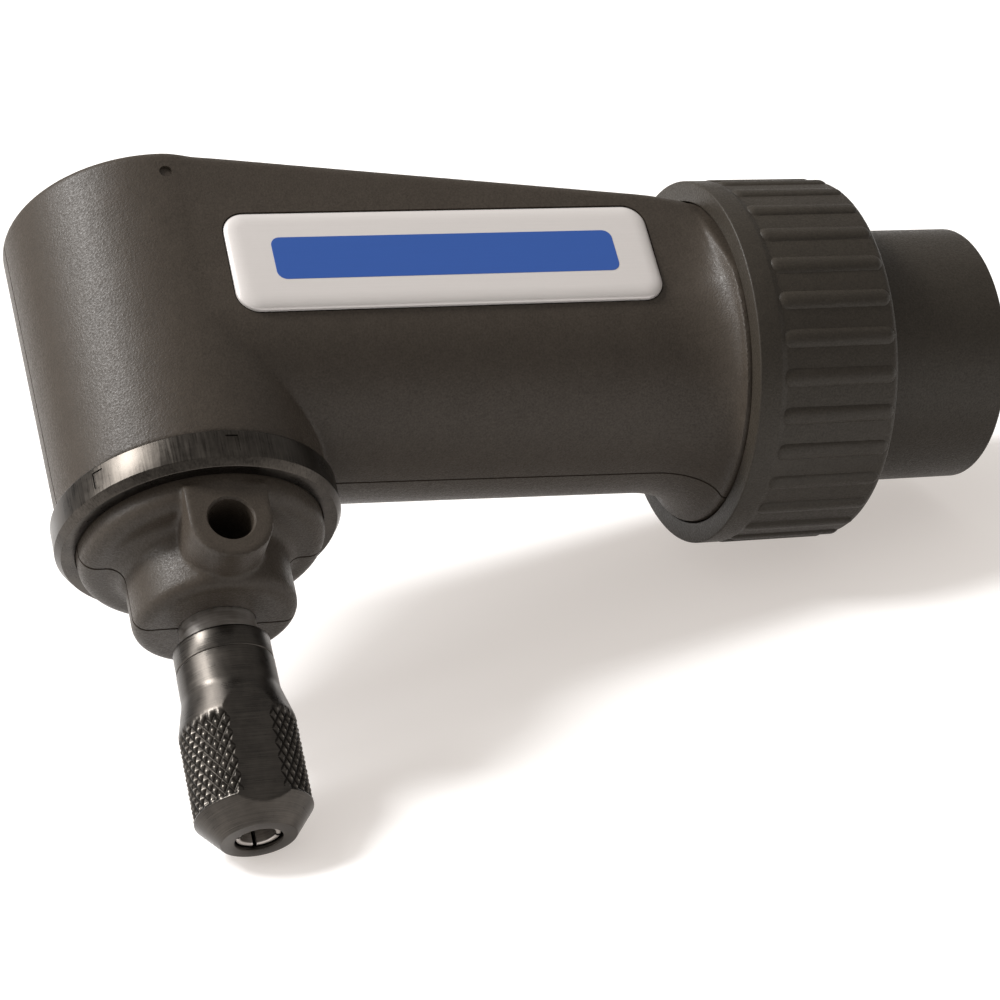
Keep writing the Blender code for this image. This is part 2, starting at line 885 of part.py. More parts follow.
def ball_bearing(prefix, axis, start, width, bore, outside, count, steel, cage_material):
    """Makes a deep groove bearing as two races and a cage with balls."""
    inner = bore / 2
    outer = outside / 2
    pitch = (inner + outer) / 2
    ball = ball_share * (outer - inner)
    land = land_share * ball
    centre = start + width / 2
    groove = ball + running_gap / 2
    spread = math.sqrt(groove ** 2 - land ** 2)
    deep = groove * math.cos(groove_facet)
    narrow = groove * math.sin(groove_facet)
    pieces = []
    for name, wall, sign in (("outer_race", outer, 1), ("inner_race", inner, -1)):
        edge = pitch + sign * land
        profile = [
            (wall, start),
            (edge, start),
            (edge, centre - spread),
            (pitch + sign * deep, centre - narrow),
            (pitch + sign * deep, centre + narrow),
            (edge, centre + spread),
            (edge, start + width),
            (wall, start + width),
        ]
        race = turned(f"{prefix}_{name}", profile, axis, small_sides)
        pieces.append(finish(race, steel))
    pieces.append(ball_cage(f"{prefix}_balls", axis, centre, pitch, ball, count, cage_material))
    return pieces


def circlip(name, axis, start, groove_bottom, material):
    """Makes an open retaining ring that sits in a shaft's groove."""
    inner = groove_bottom + seat_gap / 2
    outer = inner + clip_reach
    near = start + clip_play
    far = start + clip_thickness - clip_play
    clip = tube(name, inner, outer, near, far, axis, small_sides)
    gap = clip_opening / 2
    if axis == "drive":
        opening = box("opening", (near - 1, -gap, 0), (far + 1, gap, outer + 1))
    else:
        opening = box("opening", (0, -gap, -far - 1), (outer + 1, gap, -near + 1))
    combine(clip, opening, "DIFFERENCE")
    return finish(clip, material)


def wave_washer(material):
    """Makes the springy washer behind the rear drive bearing."""
    inner = drive_outside / 2 - web_thickness
    outer = drive_outside / 2 - seat_gap
    start = rear_bearing_end + seat_gap
    middle = start + (clip_thickness - washer_thickness) / 2
    points = []
    rings = []
    for radius, offset in ((inner, 0), (outer, 0), (outer, washer_thickness), (inner, washer_thickness)):
        ring = []
        for step in range(small_sides):
            angle = 2 * math.pi * step / small_sides
            wave = washer_wave / 2 * math.sin(3 * angle)
            ring.append(len(points))
            points.append(along("drive", radius, angle, middle + offset + wave))
        rings.append(ring)
    faces = []
    for index, ring in enumerate(rings):
        faces += bridge(ring, rings[(index + 1) % 4])
    return finish(make_object("wave_washer", points, faces), material)


def collet(material):
    """Makes the slit collet with its cone."""
    foot = nut_tip - collet_recess
    profile = [
        (collet_bore, collet_top),
        (collet_shank_radius, collet_top),
        (collet_shank_radius, collet_head_top - collet_shoulder),
        (collet_head_radius, collet_head_top),
        (collet_head_radius, collet_head_top + collet_land),
        (collet_foot_radius, foot),
        (collet_bore, foot),
    ]
    piece = turned("collet", profile, "output", small_sides)
    half = slit_width / 2
    far = collet_head_radius + 1
    for low, high in (((-half, -far), (half, far)), ((-far, -half), (far, half))):
        slit = box("slit", (*low, -foot - 1), (*high, -slit_top))
        combine(piece, slit, "DIFFERENCE")
    return finish(piece, material)


def collet_nut(material):
    """Makes the nut with its smooth neck, wide grip, two flats and cone inside."""
    cone_top = collet_head_top - seat_gap
    cone_radius = collet_head_radius + running_gap
    foot = nut_tip - collet_recess
    mouth = collet_foot_radius + running_gap
    profile = [
        (nut_bore, nut_top),
        (nut_neck_radius - nut_edge, nut_top),
        (nut_neck_radius, nut_top + nut_edge),
        (nut_neck_radius + nut_taper, nut_flare_start),
        (nut_neck_radius + nut_flare_step, nut_flare_middle),
        (nut_grip_radius, nut_flare_end),
        (nut_grip_radius, nut_nose_start),
        (nut_grip_radius - nut_nose_edge, nut_nose_start + nut_nose_edge),
        (nut_tip_radius + nut_tip_edge, nut_tip - nut_tip_edge),
        (nut_tip_radius - nut_tip_edge, nut_tip),
        (mouth, nut_tip),
        (mouth, foot),
        (cone_radius, collet_head_top + collet_land),
        (cone_radius, cone_top),
        (nut_bore, cone_top - collet_shoulder),
    ]
    nut = turned("collet_nut", profile, "output", medium_sides)
    for side in (-1, 1):
        near = side * nut_flats / 2
        far = side * (nut_grip_radius + 1)
        low = (-nut_grip_radius, min(near, far), -nut_flat_foot)
        high = (nut_grip_radius, max(near, far), -nut_flare_start)
        combine(nut, box("flat", low, high), "DIFFERENCE")
    return finish(nut, material)


def housing_screw(index, x, z, material):
    """Makes one housing screw with its round head."""
    shoulder = screw_face(x, z) - screw_sink
    name = f"housing_screw_{index + 1}"
    screw = cross_rod(name, screw_radius, x, z, -screw_depth, shoulder + screw_head_height / 2, screw_sides)
    start = shoulder + seat_gap / 2
    head = cross_rod("head", screw_head_radius, x, z, start, start + screw_head_height, screw_sides)
    combine(screw, head, "UNION")
    socket = cross_rod("socket", screw_socket, x, z, start + screw_head_height / 2, head_radius, 6)
    combine(screw, socket, "DIFFERENCE")
    return finish(screw, material)


def build():
    """Makes every piece."""
    clear_scene()
    plastic = make_material("housing_plastic", (0.035, 0.032, 0.028), 0.55, 0.0)
    plastic_rear = make_material("housing_rear_plastic", (0.036, 0.033, 0.029), 0.55, 0.0)
    collar_plastic = make_material("collar_plastic", (0.030, 0.028, 0.024), 0.5, 0.0)
    blackened = make_material("blackened_steel", (0.06, 0.06, 0.058), 0.35, 0.9)
    bright = make_material("bright_steel", (0.55, 0.55, 0.54), 0.25, 1.0)
    gear_steel = make_material("gear_steel", (0.32, 0.31, 0.30), 0.35, 1.0)
    bronze = make_material("bronze", (0.45, 0.28, 0.12), 0.4, 1.0)
    brass = make_material("brass", (0.6, 0.45, 0.2), 0.35, 1.0)
    rubber = make_material("seal_rubber", (0.02, 0.02, 0.02), 0.8, 0.0)
    plate = make_material("plate_silver", (0.75, 0.73, 0.71), 0.25, 0.1)
    zinc = make_material("zinc_plate", (0.4, 0.4, 0.38), 0.35, 1.0)

    housing_half("housing_front", -1, plastic)
    housing_half("housing_rear", 1, plastic_rear)
    head_ring(blackened)
    label_plate(plate)
    coupling_collar(collar_plastic)

    drive_shaft(bright)
    bevel_gear("drive_pinion", "drive", pinion_seat_radius + seat_gap, 0.0, gear_steel)
    gear_pin("pinion_pin", "drive", zinc)
    drive = (drive_bearing_width, drive_bore, drive_outside, drive_balls)
    ball_bearing("front_bearing", "drive", front_bearing, *drive, bright, brass)
    ball_bearing("rear_bearing", "drive", rear_bearing, *drive, bright, brass)
    spacer_start = front_bearing + drive_bearing_width + seat_gap
    spacer_radius = shaft_radius + seat_gap / 2
    spacer_end = rear_bearing - seat_gap
    spacer = tube("bearing_spacer", spacer_radius, spacer_radius + spacer_wall, spacer_start, spacer_end,
                  "drive", small_sides)
    finish(spacer, zinc)
    circlip("shaft_circlip", "drive", rear_bearing_end + seat_gap, shaft_radius - clip_groove, zinc)
    wave_washer(zinc)

    output_spindle(bright)
    bevel_gear("output_gear", "output", spindle_upper_radius + seat_gap, math.pi / teeth, gear_steel)
    gear_pin("gear_pin", "output", zinc)
    bearing = (spindle_bearing_width, spindle_bearing_bore, spindle_bearing_outside, spindle_balls)
    ball_bearing("spindle_bearing", "output", spindle_bearing, *bearing, bright, brass)
    groove_bottom = spindle_radius - seat_gap - clip_groove
    circlip("spindle_circlip", "output", spindle_bearing_end + seat_gap, groove_bottom, zinc)
    bush_inner = spindle_upper_radius + running_gap
    bush = tube("spindle_bush", bush_inner, bush_radius, -spindle_top, -spindle_top + bush_length,
                "output", medium_sides)
    finish(bush, bronze)
    seal_inner = spindle_radius + running_gap / 2
    seal = tube("spindle_seal", seal_inner, seal_radius, seal_top, seal_top + seal_height,
                "output", medium_sides)
    finish(seal, rubber)
    collet(bright)
    collet_nut(blackened)
    for index, place in enumerate(screw_places):
        housing_screw(index, *place, zinc)


build()
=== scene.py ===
# Right angle attachment: the looks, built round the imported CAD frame.
import json
import math

import bmesh
import bpy
from mathutils import Matrix, Vector

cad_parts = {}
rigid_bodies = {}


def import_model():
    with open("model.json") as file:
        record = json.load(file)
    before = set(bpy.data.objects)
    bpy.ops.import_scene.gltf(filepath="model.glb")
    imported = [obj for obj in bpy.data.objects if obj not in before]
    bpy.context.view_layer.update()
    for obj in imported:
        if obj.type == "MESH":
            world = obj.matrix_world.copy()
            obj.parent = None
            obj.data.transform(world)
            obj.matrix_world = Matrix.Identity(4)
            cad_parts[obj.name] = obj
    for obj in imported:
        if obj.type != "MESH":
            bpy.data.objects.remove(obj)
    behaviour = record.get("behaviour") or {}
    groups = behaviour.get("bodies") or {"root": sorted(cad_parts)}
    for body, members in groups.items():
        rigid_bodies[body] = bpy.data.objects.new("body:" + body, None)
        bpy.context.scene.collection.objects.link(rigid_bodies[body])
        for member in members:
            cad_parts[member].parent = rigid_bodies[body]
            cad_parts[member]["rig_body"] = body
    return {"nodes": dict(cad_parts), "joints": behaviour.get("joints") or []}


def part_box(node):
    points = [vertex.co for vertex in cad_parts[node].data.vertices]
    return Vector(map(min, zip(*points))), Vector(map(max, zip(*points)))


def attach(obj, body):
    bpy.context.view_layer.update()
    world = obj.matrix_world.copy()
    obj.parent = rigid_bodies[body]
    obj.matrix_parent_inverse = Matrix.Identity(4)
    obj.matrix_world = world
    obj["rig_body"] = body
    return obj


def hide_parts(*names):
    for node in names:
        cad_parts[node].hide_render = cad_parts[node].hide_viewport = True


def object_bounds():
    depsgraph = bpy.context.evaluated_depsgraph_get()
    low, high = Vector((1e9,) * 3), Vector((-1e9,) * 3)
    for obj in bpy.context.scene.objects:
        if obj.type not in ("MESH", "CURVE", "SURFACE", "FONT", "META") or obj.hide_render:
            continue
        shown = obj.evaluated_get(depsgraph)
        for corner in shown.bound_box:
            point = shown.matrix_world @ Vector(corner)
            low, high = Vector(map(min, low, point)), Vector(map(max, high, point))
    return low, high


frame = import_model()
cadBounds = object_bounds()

mm = 0.001
joints = {joint["name"]: joint for joint in frame["joints"]}
apex = Vector(joints["spindle_spin"]["pos_m"])  # where the drive axis meets the output axis


def span(node):
    # a CAD node's corners, in millimetres from the apex
    low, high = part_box(node)
    return (low - apex) / mm, (high - apex) / mm


# Mesh helpers: everything is drawn in millimetres from the apex and brought to metres once, at the end.

def newObject(name, data):
    item = bpy.data.objects.new(name, data)
    bpy.context.scene.collection.objects.link(item)
    return item


def meshObject(name, points, faces):
    mesh = bpy.data.meshes.new(name)
    mesh.from_pydata([Vector(point) for point in points], [], faces)
    shape = bmesh.new()
    shape.from_mesh(mesh)
    bmesh.ops.remove_doubles(shape, verts=shape.verts, dist=1e-5)
    bmesh.ops.recalc_face_normals(shape, faces=shape.faces)
    shape.to_mesh(mesh)
    shape.free()
    return newObject(name, mesh)


def discard(item):
    mesh = item.data
    bpy.data.objects.remove(item, do_unlink=True)
    bpy.data.meshes.remove(mesh)


def applyModifiers(item):
    graph = bpy.context.evaluated_depsgraph_get()
    mesh = bpy.data.meshes.new_from_object(item.evaluated_get(graph))
    item.modifiers.clear()
    oldMesh = item.data
    item.data = mesh
    bpy.data.meshes.remove(oldMesh)
    return item


def cut(item, tool):
    modifier = item.modifiers.new("cut", "BOOLEAN")
    modifier.operation = "DIFFERENCE"
    modifier.solver = "EXACT"
    modifier.object = tool
    applyModifiers(item)
    discard(tool)
    return item


def roundCorners(corners, steps=4):
    # turns corners (radius, distance, fillet) into an outline with arcs
    outline = []
    for index, (radius, distance, fillet) in enumerate(corners):
        here = Vector((radius, distance))
        if fillet == 0:
            outline.append(here)
            continue
        before = (Vector(corners[index - 1][:2]) - here).normalized()
        after = (Vector(corners[(index + 1) % len(corners)][:2]) - here).normalized()
        half = before.angle(after) / 2
        centre = here + (before + after).normalized() * fillet / math.sin(half)
        first = here + before * fillet / math.tan(half) - centre
        last = here + after * fillet / math.tan(half) - centre
        start = math.atan2(first.y, first.x)
        turn = (math.atan2(last.y, last.x) - start + math.pi) % (2 * math.pi) - math.pi
        for step in range(steps + 1):
            angle = start + turn * step / steps
            outline.append(centre + fillet * Vector((math.cos(angle), math.sin(angle))))
    return outline


def arc(centre, radius, first, last, steps):
    points = []
    for step in range(steps + 1):
        angle = math.radians(first + (last - first) * step / steps)
        points.append((centre[0] + radius * math.cos(angle), centre[1] + radius * math.sin(angle)))
    return points


def along(axis, radius, angle, distance):
    if axis == "drive":
        return (distance, radius * math.cos(angle), radius * math.sin(angle))
    return (radius * math.cos(angle), radius * math.sin(angle), -distance)


def turned(name, outline, axis, sides):
    # turns a closed outline of (radius, distance) points round the drive axis or down the output axis
    points = []
    rings = []
    for radius, distance in outline:
        count = sides if radius > 1e-6 else 1
        ring = []
        for step in range(count):
            ring.append(len(points))
            points.append(along(axis, radius, 2 * math.pi * step / sides, distance))
        rings.append(ring)
    faces = []
    for index, ring in enumerate(rings):
        following = rings[(index + 1) % len(rings)]
        if len(ring) == 1 and len(following) == 1:
            continue
        for step in range(sides):
            after = (step + 1) % sides
            corners = [ring[step % len(ring)], ring[after % len(ring)]]
            corners += [following[after % len(following)], following[step % len(following)]]
            faces.append(list(dict.fromkeys(corners)))
    return meshObject(name, points, faces)


def lofted(name, rings):
    # joins closed rings of points one after the other and closes both ends
    count = len(rings[0])
    last = (len(rings) - 1) * count
    faces = [list(range(count)), list(range(last + count - 1, last - 1, -1))]
    for start in range(0, last, count):
        for step in range(count):
            after = (step + 1) % count
            faces.append((start + step, start + after, start + count + after, start + count + step))
    return meshObject(name, [point for ring in rings for point in ring], faces)


def extruded(name, outline, near, far, farOutline=None):
    # pushes a closed outline of (x, z) points from one y to another
    return lofted(name, [[(x, near, z) for x, z in outline], [(x, far, z) for x, z in farOutline or outline]])


def crossRod(name, radius, x, z, near, far, sides=48):
    return extruded(name, arc((x, z), radius, 0, 360 - 360 / sides, sides - 1), near, far)


def crossCone(name, nearRadius, farRadius, x, z, near, far, sides=48):
    outlines = [arc((x, z), radius, 0, 360 - 360 / sides, sides - 1) for radius in (nearRadius, farRadius)]
    return extruded(name, outlines[0], near, far, outlines[1])


def block(name, low, high):
    outline = [(low[0], low[2]), (high[0], low[2]), (high[0], high[2]), (low[0], high[2])]
    return extruded(name, outline, low[1], high[1])


def cutCross(item, width, length, low, high):
    # two crossed slots between two heights
    for across, deep in ((width, length), (length, width)):
        cut(item, block("slot", (-across / 2, -deep / 2, low), (across / 2, deep / 2, high)))


def finishPiece(item, body, material, smoothAngle, nodes):
    # brings a piece to metres in the frame's place, shades it and gives it to its body
    item.data.transform(Matrix.Translation(apex) @ Matrix.Scale(mm, 4))
    if not item.data.materials:
        item.data.materials.append(material)
    item.data.shade_smooth()
    item.data.set_sharp_from_angle(angle=math.radians(smoothAngle))
    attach(item, body)
    if nodes:
        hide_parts(*nodes)
    print("made", item.name, len(item.data.polygons), "faces")
    return item


# Node helpers, for materials and for geometry nodes.

def setInputs(tree, node, inputs):
    # each value is a number, a colour or another node's socket
    for key, value in inputs.items():
        if isinstance(value, bpy.types.NodeSocket):
            tree.links.new(value, node.inputs[key])
        else:
            node.inputs[key].default_value = value


def addNode(tree, kind, inputs=None, **settings):
    node = tree.nodes.new(kind)
    for name, value in settings.items():
        setattr(node, name, value)
    setInputs(tree, node, inputs or {})
    return node


def maths(tree, operation, *values):
    return addNode(tree, "ShaderNodeMath", dict(enumerate(values)), operation=operation).outputs[0]


def sums(tree):
    # the four kinds of sum that most node trees here are made of
    kinds = ("ADD", "SUBTRACT", "MULTIPLY", "DIVIDE")
    return [lambda *values, kind=kind: maths(tree, kind, *values) for kind in kinds]


def geometryTree(name, inputs):
    # a tree with named number inputs, which the caller fills
    tree = bpy.data.node_groups.new(name, "GeometryNodeTree")
    tree.interface.new_socket(name="Geometry", in_out="INPUT", socket_type="NodeSocketGeometry")
    tree.interface.new_socket(name="Geometry", in_out="OUTPUT", socket_type="NodeSocketGeometry")
    for label, value in inputs.items():
        kind = "NodeSocketInt" if isinstance(value, int) else "NodeSocketFloat"
        tree.interface.new_socket(name=label, in_out="INPUT", socket_type=kind)
    return tree, tree.nodes.new("NodeGroupInput").outputs, tree.nodes.new("NodeGroupOutput").inputs


def endTree(tree, geometry, material, result):
    real = addNode(tree, "GeometryNodeRealizeInstances", {0: geometry}).outputs[0]
    coloured = addNode(tree, "GeometryNodeSetMaterial", {"Geometry": real, "Material": material})
    tree.links.new(coloured.outputs[0], result[0])
    return tree


def joinInTree(tree, *parts):
    joined = addNode(tree, "GeometryNodeJoinGeometry")
    for part in parts:
        tree.links.new(part, joined.inputs[0])
    return joined.outputs[0]


def movePoints(tree, geometry, x, y, z):
    place = addNode(tree, "ShaderNodeCombineXYZ", {0: x, 1: y, 2: z}).outputs[0]
    return addNode(tree, "GeometryNodeSetPosition", {"Geometry": geometry, "Position": place}).outputs[0]


def pointParts(tree):
    place = addNode(tree, "GeometryNodeInputPosition").outputs[0]
    return addNode(tree, "ShaderNodeSeparateXYZ", {0: place}).outputs


def countedPoints(tree, count):
    # so many points in one place, and each point's number
    line = addNode(tree, "GeometryNodeMeshLine", {"Count": count, "Offset": (0.0, 0.0, 0.0)}).outputs["Mesh"]
    return line, addNode(tree, "GeometryNodeInputIndex").outputs[0]


def runTree(item, tree, values):
    modifier = item.modifiers.new(tree.name, "NODES")
    modifier.node_group = tree
    for socket in tree.interface.items_tree:
        if socket.in_out == "INPUT" and socket.name in values:
            modifier[socket.identifier] = values[socket.name]
    return applyModifiers(item)


# Materials.

def newMaterial(name):
    material = bpy.data.materials.new(name)
    material.use_nodes = True
    tree = material.node_tree
    shader = tree.nodes["Principled BSDF"]
    place = addNode(tree, "ShaderNodeTexCoord").outputs["Object"]
    perMm = addNode(tree, "ShaderNodeMapping", {"Vector": place, "Scale": (1 / mm, 1 / mm, 1 / mm)})
    return material, tree, shader, perMm.outputs["Vector"]


def noise(tree, place, scale, detail=2.0, roughness=0.5):
    values = {"Vector": place, "Scale": scale, "Detail": detail, "Roughness": roughness}
    return addNode(tree, "ShaderNodeTexNoise", values).outputs["Fac"]


def spread(tree, value, low, high, fromLow=0.3, fromHigh=0.7):
    inputs = {"Value": value, "From Min": fromLow, "From Max": fromHigh, "To Min": low, "To Max": high}
    return addNode(tree, "ShaderNodeMapRange", inputs).outputs["Result"]


def blendColours(tree, share, *colours):
    first, second = [colour if isinstance(colour, bpy.types.NodeSocket) else (*colour, 1.0) for colour in colours]
    return addNode(tree, "ShaderNodeMix", {0: share, 6: first, 7: second}, data_type="RGBA").outputs[2]


def bump(tree, height, strength, depth, normal=None):
    inputs = {"Height": height, "Strength": strength, "Distance": depth * mm}
    if normal:
        inputs["Normal"] = normal
    return addNode(tree, "ShaderNodeBump", inputs).outputs["Normal"]


def mouldedPlastic(name, dark, light, roughness, grainSize=0.19, grainDepth=0.042):
    # coarse spark-eroded grain that glints in the highlights, over slow flow marks
    material, tree, shader, place = newMaterial(name)
    grain = noise(tree, place, 1 / grainSize, 2.0, 0.6)
    flow = noise(tree, place, 0.35, 5.0, 0.6)
    blotch = noise(tree, place, 1.3, 3.0, 0.6)
    speck = spread(tree, grain, 0.0, 0.5, 0.3, 0.7)
    share = maths(tree, "MULTIPLY_ADD", maths(tree, "ADD", flow, blotch), 0.35, maths(tree, "SUBTRACT", speck, 0.1))
    setInputs(tree, shader, {
        "Base Color": blendColours(tree, share, dark, light),
        "Roughness": spread(tree, grain, roughness + 0.12, roughness - 0.1),
        "Specular IOR Level": 0.23,
        "Normal": bump(tree, grain, 0.8, grainDepth, bump(tree, flow, 0.25, 0.25)),
    })
    return material


def turnedMetal(name, dark, light, roughness, stretch=(0.3, 0.3, 7.0), markDepth=0.006, wornAndHighlight=None, paintedShade=None):
    # tool marks that run round the piece, or along it, with a slow change of tone and gloss
    material, tree, shader, place = newMaterial(name)
    drawn = addNode(tree, "ShaderNodeMapping", {"Vector": place, "Scale": stretch}).outputs["Vector"]
    marks = noise(tree, drawn, 1.0, 3.0, 0.6)
    stains = noise(tree, place, 0.5, 4.0, 0.6)
    share = spread(tree, maths(tree, "ADD", marks, stains), 0.0, 1.0, 0.76, 1.24)
    colour = blendColours(tree, share, dark, light)
    if wornAndHighlight:
        # the piece's stored level is 1 on a crest, which is lightened as worn metal with a painted highlight, and -1
        # in a valley, which is darkened as painted shade
        wear = addNode(tree, "ShaderNodeAttribute", attribute_name="wear").outputs["Fac"]
        # painted shade: valleys are darker where the knurl's shade falls
        colour = blendColours(tree, spread(tree, wear, 0.0, 0.95, 0.35, -0.6), colour, paintedShade)
        # crests are lighter: worn metal with a painted highlight
        colour = blendColours(tree, spread(tree, wear, 0.0, 1.0, 0.5, 1.0), colour, wornAndHighlight)
    setInputs(tree, shader, {
        "Base Color": colour,
        "Metallic": 1.0,
        "Roughness": spread(tree, share, roughness - 0.04, roughness + 0.08, 0.0, 1.0),
        "Normal": bump(tree, marks, 0.35, markDepth),
    })
    return material


def plainRubber(name, colour):
    material, tree, shader, place = newMaterial(name)
    skin = noise(tree, place, 5.0, 3.0)
    paler = tuple(2 * part for part in colour)
    setInputs(tree, shader, {
        "Base Color": blendColours(tree, skin, colour, paler),
        "Roughness": 0.8,
        "Normal": bump(tree, skin, 0.3, 0.02),
    })
    return material


def plateFinish(name, colour, coat):
    # brushed silver under a clear domed coat
    material, tree, shader, place = newMaterial(name)
    brushed = addNode(tree, "ShaderNodeMapping", {"Vector": place, "Scale": (0.15, 1.0, 9.0)}).outputs["Vector"]
    lines = noise(tree, brushed, 1.0, 3.0)
    paler = tuple(min(1.0, 1.08 * part) for part in colour)
    setInputs(tree, shader, {
        "Base Color": blendColours(tree, lines, colour, paler),
        "Metallic": 0.15,
        "Roughness": 0.34,
        "Coat Weight": coat,
        "Coat Roughness": 0.05,
    })
    return material


print("materials")
alongDrive = (7.0, 0.3, 0.3)
housingPlastic = mouldedPlastic("housingPlastic", (0.029, 0.0225, 0.0165), (0.066, 0.053, 0.0415), 0.42)
collarPlastic = mouldedPlastic("collarPlastic", (0.020, 0.016, 0.0115), (0.046, 0.038, 0.029), 0.45)
# the knurl gets painted shade in its valleys and a lighter colour on its crests, worn metal with a painted highlight
nutSteel = turnedMetal(
    "nutSteel", (0.060, 0.055, 0.050), (0.115, 0.103, 0.091), 0.3,
    stretch=(0.25, 0.25, 14.0), markDepth=0.003, wornAndHighlight=(0.34, 0.31, 0.27), paintedShade=(0.016, 0.014, 0.012),
)
ringSteel = turnedMetal(
    "ringSteel", (0.036, 0.032, 0.028), (0.08, 0.071, 0.062), 0.3, stretch=(6.0, 6.0, 0.3), markDepth=0.003,
)
brightSteel = turnedMetal("brightSteel", (0.42, 0.39, 0.36), (0.62, 0.59, 0.56), 0.32)
driveSteel = turnedMetal("driveSteel", (0.38, 0.37, 0.35), (0.55, 0.53, 0.51), 0.24, stretch=alongDrive)
gearSteel = turnedMetal("gearSteel", (0.18, 0.17, 0.16), (0.34, 0.33, 0.31), 0.32)
springSteel = turnedMetal("springSteel", (0.24, 0.23, 0.21), (0.42, 0.41, 0.38), 0.3, stretch=alongDrive)
cageBrass = turnedMetal("cageBrass", (0.45, 0.31, 0.12), (0.6, 0.45, 0.2), 0.3)
bushBronze = turnedMetal("bushBronze", (0.34, 0.19, 0.09), (0.46, 0.29, 0.14), 0.38)
sealRubber = plainRubber("sealRubber", (0.012, 0.012, 0.012))
plateSilver = plateFinish("plateSilver", (0.655, 0.615, 0.59), 1.0)
barBlue = plateFinish("barBlue", (0.022, 0.088, 0.36), 0.25)


# The moulded housing: head, body and boss are laid over each other, made one skin and cut into two halves.
rearLow, rearHigh = span("housing_rear")
ringLow, ringHigh = span("head_ring")
flangeLow = span("coupling_collar")[0]

housing = {
    "headRadius": -rearLow.x,
    "headTop": 16.8,
    "headTaper": 0.85,
    "headRim": 0.9,
    "hubFoot": -rearLow.z,
    "ringSeat": -ringHigh.z - 0.2,
    "noseRadius": -rearLow.x - 1.3,
    "noseFoot": 19.2,
    "noseRound": 1.5,
    "hubRadius": 7.35,
    "hubRound": 1.25,
    "hubFillet": 1.5,
    "bodyEnd": rearHigh.x - 1.6,
    "flangeBack": rearHigh.x,
    "flangeRadius": rearHigh.y,
    "flareLength": 6.0,
    "topLine": [(0.3, 16.8), (2.1, 16.64), (4.0, 16.4), (8.4, 15.86), (21.4, 14.3), (31.9, 13.06), (51.0, 10.78)],
    "bodyStart": -1.0,
    "bodyDepthFront": 11.4,
    "bodyDepthBack": 12.5,
    "bodyCorner": 1.1,
    "bodyInset": 0.05,
    "bodySteps": 8,
    "flareSteps": 12,
    "underSteps": 64,
    "topSteps": 16,
    "headInset": 0.2,
    "headSides": 144,
    "bossFace": 11.0,
    "bossWidth": 7.4,
    "lockHeight": 21.2,
    "lockRadius": 2.0,
    "spindleHole": 3.47,
    "partingGap": 0.06,
    "partingWidth": 0.42,
    "partingDepth": 0.2,
    "voxel": 0.24,
    "smoothing": 2,
    "screwClearance": 0.2,
    "screwPost": 2.4,
    "shankHole": 1.25,
    "screwSink": 1.6,
    "lockRim": 0.32,
    "rimDepth": 0.25,
    "dimple": (-0.15, 14.35),
    "dimpleRadius": 0.6,
    "dimpleDepth": 0.25,
    "beyond": 30,
}


def topHeight(x):
    # the top is level over the head and falls towards the flange
    line = housing["topLine"]
    if x <= line[0][0]:
        return housing["headTop"]
    for (x1, z1), (x2, z2) in zip(line, line[1:]):
        if x <= x2:
            return z1 + (z2 - z1) * (x - x1) / (x2 - x1)
    return line[-1][1]


def sideReach(z):
    # the moulding's draft: the head and the body's sides widen towards the top
    share = (z + housing["ringSeat"]) / (housing["headTop"] + housing["ringSeat"])
    return housing["headRadius"] - housing["headInset"] + housing["headTaper"] * share


def headSkin():
    v = housing
    radius = sideReach(v["headTop"])
    rim = v["headRim"]
    outline = [(0, -v["headTop"])]
    outline += arc((radius - rim, rim - v["headTop"]), rim, -90, 0, 8)
    outline += [(sideReach(-v["ringSeat"]), v["ringSeat"]), (v["noseRadius"], v["ringSeat"])]
    noseCentre = (v["noseRadius"] - v["noseRound"], v["noseFoot"] - v["noseRound"])
    outline += arc(noseCentre, v["noseRound"], 0, 85, 8)
    filletCentre = (v["hubRadius"] + v["hubFillet"], v["noseFoot"] + v["hubFillet"])
    outline += arc(filletCentre, v["hubFillet"], 270, 180, 8)
    hubCentre = (v["hubRadius"] - v["hubRound"], v["hubFoot"] - v["hubRound"])
    outline += arc(hubCentre, v["hubRound"], 0, 90, 10)
    outline.append((0, v["hubFoot"]))
    head = turned("headSkin", outline, "output", v["headSides"])
    for vertex in head.data.vertices:
        if vertex.co.z >= v["headTop"] - rim - 1e-4:
            vertex.co.z -= v["headTop"] - topHeight(vertex.co.x)
    return head


def bodyOutline(x):
    # a half ellipse below, and above it drafted sides and a flat top with rounded corners
    v = housing
    corner = v["bodyCorner"]
    top = topHeight(x)
    level = sideReach(0) - v["bodyInset"]
    half = sideReach(top) - v["bodyInset"]
    depth = v["bodyDepthFront"] + (v["bodyDepthBack"] - v["bodyDepthFront"]) * x / v["bodyEnd"]
    angles = [math.pi * step / v["underSteps"] for step in range(v["underSteps"] + 1)]
    outline = [(level * math.cos(angle), -depth * math.sin(angle)) for angle in angles]
    outline += arc((-half + corner, top - corner), corner, 180, 90, 8)
    outline += [((half - corner) * step / v["topSteps"], top) for step in range(1 - v["topSteps"], v["topSteps"])]
    return outline + arc((half - corner, top - corner), corner, 90, 0, 8)


def bodySkin():
    # the body's outline goes over into the round flange in a quarter of an ellipse
    v = housing
    flareStart = v["bodyEnd"] - v["flareLength"]
    stations = [(v["bodyStart"], 0.0)]
    stations += [(flareStart * step / v["bodySteps"], 0.0) for step in range(v["bodySteps"] + 1)]
    for step in range(1, v["flareSteps"] + 1):
        angle = math.pi / 2 * step / v["flareSteps"]
        stations.append((flareStart + v["flareLength"] * math.sin(angle), 1 - math.cos(angle)))
    stations.append((v["flangeBack"], 1.0))
    rings = []
    for x, flare in stations:
        ring = []
        for y, z in bodyOutline(x):
            length = math.hypot(y, z)
            share = 1 + (v["flangeRadius"] / length - 1) * flare
            ring.append((x, y * share, z * share))
        rings.append(ring)
    return lofted("bodySkin", rings)


